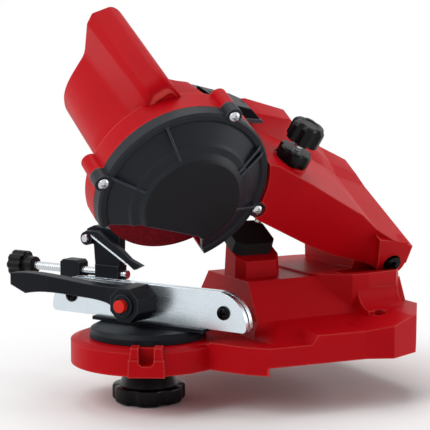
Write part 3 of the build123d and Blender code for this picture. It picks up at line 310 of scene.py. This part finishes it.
def threaded(name, crest_highlight, groove_shade, along, pitch_mm):
    """Rolled thread on a plated rod: crests a pitch apart along the rod, with painted highlight on the crests and
    painted shade in the grooves.
    """
    material, tree = blank_material(name)
    place = put(tree, "ShaderNodeTexCoord").outputs["Object"]
    back = along.rotation_difference(Vector((1, 0, 0))).to_euler()
    turned = put(tree, "ShaderNodeMapping", {"Rotation": back}, {"Vector": place})
    # a wave's bands are pi / (10 x scale) apart
    crests = put(
        tree, "ShaderNodeTexWave", {"bands_direction": "X", "Scale": pi / (10 * pitch_mm * MM)},
        {"Vector": turned.outputs["Vector"]},
    )
    # the ramp paints the grooves darker as shade and the crests paler as highlight
    shade = put(tree, "ShaderNodeValToRGB", {}, {"Fac": crests.outputs["Fac"]})
    shade.color_ramp.elements[0].color = linear(groove_shade)
    shade.color_ramp.elements[1].color = linear(crest_highlight)
    relief = put(
        tree, "ShaderNodeBump", {"Strength": 0.3, "Distance": 0.15 * MM}, {"Height": crests.outputs["Fac"]},
    )
    skin = put(
        tree, "ShaderNodeBsdfPrincipled", {"Metallic": 1.0, "Roughness": 0.27},
        {"Base Color": shade.outputs["Color"], "Normal": relief.outputs["Normal"]},
    )
    put(tree, "ShaderNodeOutputMaterial", {}, {"Surface": skin.outputs["BSDF"]})
    return material


def bonded_abrasive(name, bond, grit_colour, grit_mm):
    """Vitrified grinding wheel: a bond with grit of another tone, quite matt."""
    material, tree = blank_material(name)
    place = put(tree, "ShaderNodeTexCoord").outputs["Object"]
    grit = put(tree, "ShaderNodeTexVoronoi", {"Scale": per_mm(grit_mm)}, {"Vector": place})
    ramp = put(tree, "ShaderNodeValToRGB", {}, {"Fac": grit.outputs["Color"]})
    ramp.color_ramp.elements[0].color = linear(bond)
    ramp.color_ramp.elements[1].color = linear(grit_colour)
    relief = put(
        tree, "ShaderNodeBump", {"Strength": 0.7, "Distance": 0.12 * MM}, {"Height": grit.outputs["Distance"]},
    )
    skin = put(
        tree, "ShaderNodeBsdfPrincipled", {"Roughness": 0.8, "Specular IOR Level": 0.12},
        {"Base Color": ramp.outputs["Color"], "Normal": relief.outputs["Normal"]},
    )
    put(tree, "ShaderNodeOutputMaterial", {}, {"Surface": skin.outputs["BSDF"]})
    return material


# the third colour of each moulded plastic is the painted highlight on its outward edges
# ABS for the shells: strong red with a fine spark-eroded grain that softens the gloss
red_abs = moulded(
    "red_abs_moulded", "#BE0512", "#AD0310", "#E0564E",
    grain_mm=0.5, grain_depth=0.03, roughness=0.42, edge_mm=0.9, gleam=0.08,
)
# glass-filled nylon for the vice and console: near black and slightly blue, with a painted bluish highlight on its
# edges
black_nylon = moulded(
    "black_nylon_moulded", "#111318", "#171A20", "#4E535E",
    grain_mm=0.6, grain_depth=0.04, roughness=0.42, edge_mm=0.7, gleam=0.11,
)
# the same nylon on the guard, painted lighter on its cone for the light it catches, with painted shade on the flat
# of its hub
guard_nylon = moulded(
    "guard_nylon_moulded", "#181B20", "#20242B", "#626875",
    grain_mm=0.6, grain_depth=0.05, roughness=0.46, edge_mm=0.7, gleam=0.17,
    pad=(on_head(spindle_u, spindle_v, 30), 33.6, "#0E0F13"),
)
# phenolic knobs: deep black and smoother than the nylon
black_knob = moulded(
    "black_knob_moulded", "#08080A", "#0E0E11", "#2E3036",
    grain_mm=0.7, grain_depth=0.03, roughness=0.3, edge_mm=0.5,
)
# dark grey ABS of the switch surround's lip and of the fan
grey_abs = moulded(
    "grey_abs_moulded", "#5A5F66", "#52565D", "#8A9098",
    grain_mm=0.5, grain_depth=0.03, roughness=0.36, edge_mm=0.5,
)
# orange-red polypropylene button: a little glossier than the shells
button_red = moulded(
    "red_button_moulded", "#E5281B", "#D91F13", "#F0604E",
    grain_mm=0.5, grain_depth=0.02, roughness=0.3, edge_mm=0.4, gleam=0.2,
)
# nitrile rubber: soft black, matt
black_rubber = moulded(
    "black_rubber_moulded", "#101010", "#171717", "#2A2A2A",
    grain_mm=0.8, grain_depth=0.05, roughness=0.58, edge_mm=0.6, gleam=0.2,
)
# zinc plated sheet: bright, cool, with a fine grain along the rail, drawn at 1.2 mm so that it shows
rail_steel = metal(
    "zinc_plated_sheet", "#DCE6EC", "#CFD9E0", roughness=0.26, grain_mm=1.2,
    stretch=(0.05, 1, 1), turn=(0, 0, -tilt), grain_depth=0.004,
)
# zinc plated fasteners: pale and bright
screw_steel = metal("zinc_plated_screw", "#CFD1D4", "#BDBFC3", roughness=0.25, grain_mm=0.8)
# turned steel: mid grey with fine tool marks
turned_steel = metal("turned_steel", "#A9ABAE", "#97999C", roughness=0.3, grain_mm=0.5)
# turned aluminium: a paler, softer grey
flange_alloy = metal("turned_aluminium", "#C4C6C8", "#B5B7BA", roughness=0.32, grain_mm=0.5)
# blackened steel: near black with a low sheen
blackened_steel = metal("blackened_steel", "#1C1D20", "#151618", roughness=0.3, grain_mm=0.6)
# turned brass: warm yellow
brass = metal("turned_brass", "#C79A4B", "#B88A3E", roughness=0.3, grain_mm=0.5)
# oiled spring wire: dark grey, slightly glossy
spring_steel = metal("oiled_spring_wire", "#5B5E63", "#4A4C51", roughness=0.3, grain_mm=0.6)
# enamelled copper winding: orange brown under a clear enamel
copper = metal("enamelled_copper", "#B5653A", "#9C5330", roughness=0.35, grain_mm=0.4)
# varnished laminations: dark grey and dull
lamination = metal("varnished_lamination", "#55565A", "#45464A", roughness=0.5, grain_mm=0.5)
# vitrified abrasive: maroon and gritty; its 80 grit is about 0.2 mm, drawn at 0.7 mm so that it shows
abrasive = bonded_abrasive("vitrified_abrasive", "#4A0810", "#8E1420", grit_mm=0.7)
# rolled threads, one material for each direction of rod, with painted highlight on the crests and painted shade in
# the grooves: their 1 mm pitch is drawn at 2 mm so that it shows
painted_crest_highlight, painted_groove_shade, drawn_pitch_mm = "#D6DADE", "#B2B6BB", 2.0
feed_thread = threaded("rolled_feed_thread", painted_crest_highlight, painted_groove_shade, rail_dir, drawn_pitch_mm)
depth_thread = threaded("rolled_depth_thread", painted_crest_highlight, painted_groove_shade, rod_up, drawn_pitch_mm)

finishes = (
    (red_abs, "base_housing", "head_housing", "motor_cover"),
    (black_rubber, "stop_pad", "cable_gland"),
    (guard_nylon, "guard_cover"),
    (black_nylon, "switch_console", "turntable", "rail_holder", "clamp_lever", "stop_carriage", "pawl",
     "feed_bracket"),
    (black_knob, "switch_rocker", "depth_knob", "depth_lock_knob", "feed_knob", "lock_knob"),
    (grey_abs, "cooling_fan"),
    (button_red, "release_button"),
    (rail_steel, "rear_rail", "front_rail", "pawl_blade"),
    (screw_steel, "guard_screws", "cover_screws", "motor_bolts", "pivot_nut", "spindle_nut", "clamp_stud",
     "lock_stud", "lock_washer", "pawl_pin"),
    (blackened_steel, "rail_screws", "pivot_bolt"),
    (turned_steel, "hinge_bushes", "front_bearing", "rear_bearing", "spindle"),
    (flange_alloy, "rear_bracket", "inner_flange", "outer_flange"),
    (brass, "brush_holders", "depth_insert", "lever_insert"),
    (spring_steel, "return_spring"),
    (copper, "field_coils", "commutator"),
    (lamination, "motor_field", "armature"),
    (abrasive, "grinding_wheel"),
    (depth_thread, "depth_rod"),
    (feed_thread, "feed_screw"),
)
for finish, *names in finishes:
    for name in names:
        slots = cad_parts[name].data.materials
        slots.clear()
        slots.append(finish)


# ---------------------------------------------------------------- knobs

def grip_radius(angle, outer, count, cut_at, cut_r):
    """Outline of a knob with round finger notches, the first one at angle 0."""
    step = 2 * pi / count
    off = (angle + step / 2) % step - step / 2
    inside = cut_r ** 2 - (cut_at * sin(off)) ** 2
    if inside <= 0:
        return outer
    return min(outer, cut_at * cos(off) - sqrt(inside))


# points round a knob, and the angle between the samples that soften a notch's corners
knob_points, notch_blur = 168, 0.018


def knob(name, node, body, place, steps, count, cut_at, cut_r):
    """A moulded knob. Each step is (height, radius, share of the notch that shows there)."""
    widest = max(r for h, r, share in steps)
    rings = []
    for h, r, share in steps:
        ring = []
        for i in range(knob_points):
            a = 2 * pi * i / knob_points
            notch = sum(
                widest - grip_radius(a + k * notch_blur, widest, count, cut_at, cut_r) for k in (-2, -1, 0, 1, 2)
            ) / 5
            reach = r - share * notch
            ring.append((reach * cos(a), reach * sin(a), h))
        rings.append(ring)
    piece(name, rings_mesh(name, rings, place), body, "black_knob", black_knob, node)


knob(
    "depth_knob_moulding", "depth_knob", "depth_knob_body", stand(on_rod(68), spindle_dir, rod_up),
    [(0, 9.5, 0.6), (0, 11, 1), (0.4, 11.7, 1), (1.1, 12, 1), (10.2, 12, 1), (11.6, 11.7, 0.95), (12.7, 11, 0.85),
     (13.6, 9.9, 0.7), (14, 8.6, 0.4), (14, 6.5, 0), (13.4, 6, 0), (13.4, 2, 0)],
    count=6, cut_at=14, cut_r=4,
)
knob(
    "depth_lock_moulding", "depth_lock_knob", "depth_lock_body", stand(on_rod(52.3), spindle_dir, rod_up),
    [(0, 9.5, 0.6), (0, 11, 1), (0.4, 11.7, 1), (1.1, 12, 1), (7.9, 12, 1), (8.6, 11.7, 1), (9, 11, 1),
     (9, 6, 0), (9, 3.3, 0)],
    count=6, cut_at=14, cut_r=4,
)
knob(
    "feed_knob_moulding", "feed_knob", "feed_drive",
    stand(on_vice(-127, 49.5, -9.5), rail_out * -1, rail_dir),
    [(0.5, 2, 0), (0.5, 6, 0), (0, 6.6, 0), (0, 8.6, 0.7), (0.4, 9.7, 1), (1.2, 10.2, 1), (10.6, 10.2, 1),
     (11.5, 9.8, 1), (12, 9, 0.8), (12, 7, 0), (12.4, 6.6, 0), (19.5, 6.3, 0), (20, 5.8, 0), (20, 3.4, 0)],
    count=9, cut_at=11.8, cut_r=2.6,
)
knob(
    "lock_knob_moulding", "lock_knob", "lock_knob_body",
    stand(swivel + Vector((0, 0, -33.5)), (1, 0, 0), (0, 0, 1)),
    [(0.6, 5, 0), (0.6, 16, 0), (0, 17, 0), (0, 22.5, 1), (0.5, 24, 1), (1.6, 24.8, 1), (2.6, 25, 1),
     (9.6, 25, 1), (10.6, 24.6, 1), (11, 23.6, 1), (11.2, 20, 0), (25.2, 15, 0), (25.4, 14, 0), (25.4, 5, 0)],
    count=7, cut_at=31, cut_r=8,
)

# ---------------------------------------------------------------- motor cover

# directions across the grip and up it, in the grinding plane
grip_s, grip_t = (0.755, 0.656), (-0.656, 0.755)
# the cover runs from the back plate to its end, and the grip's top is these corners of its outline
plate_w, end_w, cover_wall, end_round = -9, -84.5, 2.5, 2.5
grip_corners = range(4, 8)
corner_radii, corner_steps = [9, 7, 9, 4, 1, 1, 3, 4, 12, 10, 16, 12], 5
# how far the grip's front leans over the guard's ring, fading out this far behind the plate
lead_at_plate, lead_length = 3.3, 10
# how far the cover laps over the back plate's edge, down to this w
plate_lap, plate_lap_w = 0.3, -10
# (w, rise of the grip's top there) from the plate to the end
crown = [(-9, -6.6), (-9.2, -4.6), (-9.8, -2.5), (-10.9, -0.8), (-12.6, 0.4), (-15, 1.1), (-18.5, 1.4), (-26, 1.3),
         (end_w, 0)]


def on_cover(s, t, w):
    """A point of the motor cover: s across the grip, t up it, w along the spindle."""
    return on_head(grip_s[0] * s + grip_t[0] * t + spindle_u, grip_s[1] * s + grip_t[1] * t + spindle_v, w)


def corners(outline):
    """Each corner of a closed outline, between the one before it and the one after it."""
    count = len(outline)
    for i in range(count):
        yield [Vector(outline[(i + k) % count]) for k in (-1, 0, 1)]


def inset(outline, amount):
    """The outline moved inward by this much; it runs clockwise."""
    moved = []
    for a, b, c in corners(outline):
        d, e = (b - a).normalized(), (c - b).normalized()
        n, m = Vector((d.y, -d.x)), Vector((e.y, -e.x))
        moved.append(tuple(b + (n + m) * amount / (1 + n.dot(m))))
    return moved


def rounded(outline, radii):
    """The outline with its corners rounded, each into corner_steps + 1 points."""
    soft = []
    for (a, b, c), radius in zip(corners(outline), radii):
        back, onward = a - b, c - b
        start = b + back * min(0.45, radius / back.length)
        end = b + onward * min(0.45, radius / onward.length)
        for k in range(corner_steps + 1):
            f = k / corner_steps
            soft.append(start * (1 - f) ** 2 + b * 2 * f * (1 - f) + end * f ** 2)
    return soft


def section(share, rise):
    """Outline of the cover part of the way to its end, with the grip's top raised by this much."""
    front = [(-35, 38), (-33, 45), (-22, 48), (0, 50), (12.2, 63), (16.8, 66.2),
             (29, 66), (32, 61), (32, 0), (28, -18), (0, -33), (-28, -18)]
    end = [(-36, 31), (-31, 43), (-22, 51), (-3, 61), (9.8, 79.6), (16.5, 84),
           (30, 80), (32.5, 74), (32.5, 0), (28, -18), (0, -33), (-28, -18)]
    return [
        (a[0] + (b[0] - a[0]) * share, a[1] + (b[1] - a[1]) * share + (rise if i in grip_corners else 0))
        for i, (a, b) in enumerate(zip(front, end))
    ]


def cover_ring(outline, w):
    """Rounded outline at w; the grip's front stands a little ahead of the rest, over the guard's ring."""
    lead = max(0, lead_at_plate * (1 - (plate_w - w) / lead_length))
    return [
        (dot.x, dot.y, w + (lead if k // (corner_steps + 1) in grip_corners else 0))
        for k, dot in enumerate(rounded(outline, corner_radii))
    ]


# from the end's inside up to the plate, back along the outside, and round the edge of the end
walls = [(w, section((plate_w - w) / (plate_w - end_w), rise)) for w, rise in crown]
rings = [cover_ring(inset(outline, cover_wall), w) for w, outline in reversed(walls)]
rings += [cover_ring(inset(outline, -plate_lap if w > plate_lap_w else 0), w) for w, outline in walls]
for degree in (30, 60, 90):
    trimmed = inset(walls[-1][1], end_round * (1 - cos(radians(degree))))
    rings.append(cover_ring(trimmed, end_w - end_round * sin(radians(degree))))
along_cover = stand(on_cover(0, 0, 0), on_cover(1, 0, 0) - on_cover(0, 0, 0), spindle_dir)
# cooling slots with round ends, and the hole of the cable gland
slot_spots, slot_r, slot_reach = range(-12, 13, 6), 1.3, 11.7
gland_s, gland_t, gland_r = -14, 34, 5
openings = []
for s in slot_spots:
    half = [(s + slot_r * cos(pi * k / 8), slot_reach + slot_r * sin(pi * k / 8)) for k in range(9)]
    openings.append(half + [(2 * s - x, -y) for x, y in half])
openings.append([(gland_s + gland_r * cos(pi * k / 16), gland_t + gland_r * sin(pi * k / 16)) for k in range(32)])
cover_sharp = 26
cover_mesh = cut_out(
    rings_mesh("cover_shell", rings, along_cover, cover_sharp),
    [prism("cover_opening", outline, -90, -80, along_cover) for outline in openings],
    cover_sharp,
)
piece("motor_cover_moulding", cover_mesh, "head", "red_plastic", red_abs, "motor_cover")

# ---------------------------------------------------------------- surround of the switch

across_head = stand(on_head(0, 0, 0), rearward, spindle_dir)


def slab(name, near_w, near, far_w, far):
    """A solid between two outlines in the grinding plane's frame, as many points each."""
    rings = [[(u, v, w) for u, v in outline] for w, outline in ((far_w, far), (near_w, near))]
    return rings_mesh(name, rings, across_head)


# its top runs down to the far side, in line with the ridge of the hood
console = slab(
    "switch_console",
    -25, [(32.5, 97.5), (17.5, 112.1), (19.5, 114.6), (27, 117.6), (62, 109), (74.5, 97.8)],
    -58, [(32.5, 95.5), (17.5, 106), (19.5, 110.6), (27, 110), (62, 101.6), (74.5, 96.5)],
)
# the rocker's seat follows the top: down to the rear, and down to the far side
top_length, top_drop = 41.5, 10.5
console_width, far_drop = 33, 7.5
slope = atan(far_drop / console_width)
along_top = (rearward * top_length - head_up * top_drop).normalized()
flat_up = (rearward * top_drop + head_up * top_length).normalized()
seat_up = flat_up * cos(slope) - spindle_dir * sin(slope)
seat_spot = on_head(41, 110.4, -41.5)
recess_outline = [(-12.5, -7.5), (12.5, -7.5), (12.5, 7.5), (-12.5, 7.5)]
recess = prism("rocker_recess", recess_outline, -9, 5, stand(seat_spot, along_top, seat_up))
piece("switch_console_moulding", cut_out(console, [recess]), "head", "black_plastic", black_nylon, "switch_console")
rocker_outline = [(-11.5, 2.2), (-6, 0.6), (0, -0.4), (6, -0.2), (11.5, 0.2), (9.5, -5), (-9.5, -5)]
rocker = prism("rocker", rocker_outline, -6.5, 6.5, stand(seat_spot, along_top, along_top.cross(seat_up)))
piece("switch_rocker_moulding", rocker, "rocker", "black_knob", black_knob, "switch_rocker")
cheek = slab(
    "switch_cheek",
    -24.4, [(15.5, 107.5), (9.5, 113.8), (18.5, 115.6), (26.8, 118.2), (28.6, 117.8), (26.4, 111)],
    -58.5, [(15, 104), (11.5, 113.2), (19, 111.6), (26.8, 110.6), (28.6, 110.2), (26.4, 103)],
)
piece("switch_cheek", cheek, "head", "red_plastic", red_abs)
lip_outline = [(56, 98.2), (59.5, 102), (71.6, 101), (74.9, 97.9)]
lip = slab("switch_lip", -24.2, lip_outline, -25.6, lip_outline)
piece("switch_lip", lip, "head", "grey_plastic", grey_abs)

# ---------------------------------------------------------------- screws

heads = bpy.data.node_groups.new("domed_screws", "GeometryNodeTree")
for label, kind in (
    ("Spots", "NodeSocketGeometry"), ("Head Radius", "NodeSocketFloat"), ("Head Height", "NodeSocketFloat"),
    ("Recess Width", "NodeSocketFloat"), ("Shank Radius", "NodeSocketFloat"), ("Shank Length", "NodeSocketFloat"),
    ("Nut Radius", "NodeSocketFloat"), ("Nut Offset", "NodeSocketFloat"), ("Turn", "NodeSocketVector"),
    ("Finish", "NodeSocketMaterial"),
):
    heads.interface.new_socket(label, in_out="INPUT", socket_type=kind)
heads.interface.new_socket("Screws", in_out="OUTPUT", socket_type="NodeSocketGeometry")
given = put(heads, "NodeGroupInput").outputs
# the cross recess is a little longer than the head's radius and about half as deep as the head is high
recess_length, recess_depth, block_size, block_drop, shank_drop, nut_drop = (
    put(heads, "ShaderNodeMath", {"operation": "MULTIPLY", 1: factor}, {0: given[label]}).outputs[0]
    for label, factor in (
        ("Head Radius", 1.15), ("Head Height", 1.1), ("Head Radius", 4.0), ("Head Radius", -2.0),
        ("Shank Length", -0.5), ("Nut Offset", -1.0),
    )
)
flat = put(
    heads, "ShaderNodeCombineXYZ", {},
    {"X": given["Head Radius"], "Y": given["Head Radius"], "Z": given["Head Height"]},
)
ball = put(heads, "GeometryNodeMeshUVSphere", {"Segments": 28, "Rings": 14, "Radius": 1.0})
dome = put(heads, "GeometryNodeTransform", {}, {"Geometry": ball.outputs["Mesh"], "Scale": flat.outputs["Vector"]})
# two crossed bars cut the recess, and a block takes the ball's lower half away
cut = put(heads, "GeometryNodeMeshBoolean", {"operation": "DIFFERENCE"}, {"Mesh 1": dome.outputs["Geometry"]})
solids = []
for x_size, y_size, z_size, lift in (
    (recess_length, given["Recess Width"], recess_depth, given["Head Height"]),
    (given["Recess Width"], recess_length, recess_depth, given["Head Height"]),
    (block_size, block_size, block_size, block_drop),
):
    sides = put(heads, "ShaderNodeCombineXYZ", {}, {"X": x_size, "Y": y_size, "Z": z_size})
    box = put(heads, "GeometryNodeMeshCube", {}, {"Size": sides.outputs["Vector"]})
    solids.append((box, lift, cut.inputs["Mesh 2"]))
# the nut shows only where it is wider than the shank
whole = put(heads, "GeometryNodeJoinGeometry")
heads.links.new(cut.outputs["Mesh"], whole.inputs["Geometry"])
shank = put(
    heads, "GeometryNodeMeshCylinder", {"Vertices": 20},
    {"Radius": given["Shank Radius"], "Depth": given["Shank Length"]},
)
nut = put(heads, "GeometryNodeMeshCylinder", {"Vertices": 6, "Depth": 4 * MM}, {"Radius": given["Nut Radius"]})
solids += [(shank, shank_drop, whole.inputs["Geometry"]), (nut, nut_drop, whole.inputs["Geometry"])]
for solid, lift, goes_to in solids:
    offset = put(heads, "ShaderNodeCombineXYZ", {}, {"Z": lift})
    moved = put(
        heads, "GeometryNodeTransform", {},
        {"Geometry": solid.outputs["Mesh"], "Translation": offset.outputs["Vector"]},
    )
    heads.links.new(moved.outputs["Geometry"], goes_to)
turn = put(heads, "FunctionNodeEulerToRotation", {}, {"Euler": given["Turn"]})
spread = put(
    heads, "GeometryNodeInstanceOnPoints", {},
    {"Points": given["Spots"], "Instance": whole.outputs["Geometry"], "Rotation": turn.outputs["Rotation"]},
)
real = put(heads, "GeometryNodeRealizeInstances", {}, {"Geometry": spread.outputs["Instances"]})
dressed = put(
    heads, "GeometryNodeSetMaterial", {}, {"Geometry": real.outputs["Geometry"], "Material": given["Finish"]},
)
put(heads, "NodeGroupOutput", {}, {"Screws": dressed.outputs["Geometry"]})
keys = {item.name: item.identifier for item in heads.interface.items_tree if item.in_out == "INPUT"}


def screws(name, node, body, slot, finish, spots, axis, sizes):
    """Domed cross-head screws, their heads facing along the axis; spots and sizes are in millimetres."""
    dots = bpy.data.meshes.new(name + "_spots")
    dots.from_pydata([spot * MM for spot in spots], [], [])
    maker = linked(name + "_maker", dots)
    made = maker.modifiers.new("screws", "NODES")
    made.node_group = heads
    for label, value in sizes.items():
        made[keys[label]] = value * MM
    made[keys["Turn"]] = axis.to_track_quat("Z", "Y").to_euler()
    made[keys["Finish"]] = finish
    mesh = plain_mesh(maker)
    mesh.shade_smooth()
    mesh.set_sharp_from_angle(angle=radians(35))
    piece(name, mesh, body, slot, finish, node)


# the guard's three ears stand at these angles round the spindle
ear_r = 60
ear_spots = [
    on_head(spindle_u + ear_r * cos(radians(a)), spindle_v + ear_r * sin(radians(a)), 16)
    for a in (170.5, 71.0, -16.5)
]
screws(
    "guard_screw_set", "guard_screws", "head", "screw_steel", screw_steel, ear_spots, spindle_dir,
    {"Head Radius": 3.9, "Head Height": 2.6, "Recess Width": 1.1, "Shank Radius": 2, "Shank Length": 23,
     "Nut Radius": 1.9, "Nut Offset": 20},
)
cover_spots = [on_cover(s, t, -87) for s, t in ((-27, 36), (22, 62), (26, 33))]
screws(
    "cover_screw_set", "cover_screws", "head", "screw_steel", screw_steel, cover_spots, spindle_dir * -1,
    {"Head Radius": 3.6, "Head Height": 2.4, "Recess Width": 1.0, "Shank Radius": 2, "Shank Length": 66,
     "Nut Radius": 1.9, "Nut Offset": 60},
)
screws(
    "rail_screw_set", "rail_screws", "vice", "blackened_steel", blackened_steel,
    [on_vice(63, 33.5, 4.6), on_vice(-63, 33.5, 4.6)], rail_out,
    {"Head Radius": 4.8, "Head Height": 3, "Recess Width": 1.3, "Shank Radius": 2.98, "Shank Length": 14,
     "Nut Radius": 5.6, "Nut Offset": 10.9},
)

# ---------------------------------------------------------------- return spring

wire_r, coil_r, coil_pitch, turns, dots_per_turn = 1.1, 7.6, 2.5, 7, 16
first_w = -20.7
last_w = first_w + coil_pitch * (turns + 0.3)
# one leg straight off the first turn, the turns and a quarter more, and the other leg
winding = [(-13, -coil_r, first_w), (-6, -coil_r, first_w)]
for i in range(turns * dots_per_turn + dots_per_turn // 4 + 1):
    a = -pi / 2 + 2 * pi * i / dots_per_turn
    winding.append((coil_r * cos(a), coil_r * sin(a), first_w + coil_pitch * i / dots_per_turn))
winding += [(coil_r, 10, last_w), (coil_r, 16, last_w)]
on_hinge = stand(on_head(173, 16.7, 0), rearward, spindle_dir)
spring = bpy.data.curves.new("return_spring_wire", "CURVE")
spring.dimensions = "3D"
spring.bevel_depth = wire_r * MM
spring.bevel_resolution = 5
spring.resolution_u = 4
spring.use_fill_caps = True
line = spring.splines.new("NURBS")
line.points.add(len(winding) - 1)
for dot, spot in zip(line.points, winding):
    dot.co = (*(on_hinge @ Vector(spot)), 1)
line.order_u = 3
line.use_endpoint_u = True
wound = plain_mesh(linked("return_spring_maker", spring))
wound.shade_smooth()
piece("return_spring_coil", wound, "base", "spring_steel", spring_steel, "return_spring")

# ---------------------------------------------------------------- stage, light and camera

def looked_at(tree):
    """1 for what the eye meets: straight on, in gloss or through something clear."""
    rays = put(tree, "ShaderNodeLightPath").outputs
    direct = put(
        tree, "ShaderNodeMath", {"operation": "MAXIMUM"}, {0: rays["Is Camera Ray"], 1: rays["Is Glossy Ray"]},
    )
    return put(
        tree, "ShaderNodeMath", {"operation": "MAXIMUM"}, {0: direct.outputs[0], 1: rays["Is Transmission Ray"]},
    ).outputs[0]


# the floor lies just under the lowest knob, and reaches out of sight
floor_z, reach = cad_box[0][2] - 0.5 * MM, 6.0
fade_middle, fade_start, fade_end = (0, -0.08, floor_z), 0.11, 0.3
floor_mesh = bpy.data.meshes.new("studio_floor")
floor_mesh.from_pydata(
    [(-reach, -reach, floor_z), (reach, -reach, floor_z), (reach, reach, floor_z), (-reach, reach, floor_z)],
    [], [(0, 1, 2, 3)],
)
floor = linked("studio_floor", floor_mesh)
# matt white paper; away from the object it turns plain white to the eye, and keeps the shadow near it
paper, tree = blank_material("white_studio_paper")
matt = put(tree, "ShaderNodeBsdfDiffuse", {"Color": linear("#FAFAFA")})
glow = put(tree, "ShaderNodeEmission", {"Color": linear("#FFFFFF"), "Strength": 1.0})
ground = put(tree, "ShaderNodeTexCoord").outputs["Object"]
away = put(tree, "ShaderNodeVectorMath", {"operation": "DISTANCE", 1: fade_middle}, {0: ground})
fade = put(
    tree, "ShaderNodeMapRange",
    {"interpolation_type": "SMOOTHSTEP", "From Min": fade_start, "From Max": fade_end},
    {"Value": away.outputs["Value"]},
)
share = put(
    tree, "ShaderNodeMath", {"operation": "MULTIPLY"}, {0: fade.outputs["Result"], 1: looked_at(tree)},
)
sheet = put(
    tree, "ShaderNodeMixShader", {},
    {0: share.outputs[0], 1: matt.outputs["BSDF"], 2: glow.outputs["Emission"]},
)
put(tree, "ShaderNodeOutputMaterial", {}, {"Surface": sheet.outputs["Shader"]})
floor_mesh.materials.append(paper)

# the world is a soft fill that looks plain white
world = bpy.data.worlds.new("studio_light")
bpy.context.scene.world = world
world.use_nodes = True
tree = world.node_tree
tree.nodes.clear()
soft = put(tree, "ShaderNodeBackground", {"Color": linear("#FFFFFF"), "Strength": 0.26})
white = put(tree, "ShaderNodeBackground", {"Color": linear("#FFFFFF"), "Strength": 1.0})
either = put(
    tree, "ShaderNodeMixShader", {},
    {0: looked_at(tree), 1: soft.outputs["Background"], 2: white.outputs["Background"]},
)
put(tree, "ShaderNodeOutputWorld", {}, {"Surface": either.outputs["Shader"]})

# square softboxes, each with its place and side in metres and its power in watts
lit_spot = Vector((0.0, -0.09, 0.09))
for name, spot, side, power in (
    ("key_softbox", (0.1, -1.3, 1.2), 1.2, 15),
    ("side_softbox", (0.7, 1.3, 0.4), 0.8, 10),
    ("top_softbox", (-0.3, 0.0, 1.8), 1.2, 12),
    ("rim_softbox", (-1.2, -0.8, 0.45), 0.8, 2.5),
):
    lamp = bpy.data.lights.new(name, "AREA")
    lamp.shape = "SQUARE"
    lamp.size = side
    lamp.energy = power
    holder = linked(name, lamp)
    holder.location = spot
    holder.rotation_euler = (lit_spot - Vector(spot)).to_track_quat("-Z", "Y").to_euler()

# the camera's turn round the object, and its dip and lens from a frame measured in pixels
azimuth = radians(62)
frame_px, focal_px, horizon_px = 430, 1250, 72
dip = atan((frame_px / 2 - horizon_px) / focal_px)
ahead = Vector((-sin(azimuth) * cos(dip), cos(azimuth) * cos(dip), -sin(dip)))
eye = bpy.data.cameras.new("bench_camera")
eye.sensor_width = 36
eye.lens = eye.sensor_width * focal_px / frame_px
camera = linked("bench_camera", eye)
camera.location = (0.76418, -0.50074, 0.19007)
camera.rotation_euler = ahead.to_track_quat("-Z", "Y").to_euler()
bpy.context.scene.camera = camera
bpy.context.scene.view_settings.view_transform = "Standard"
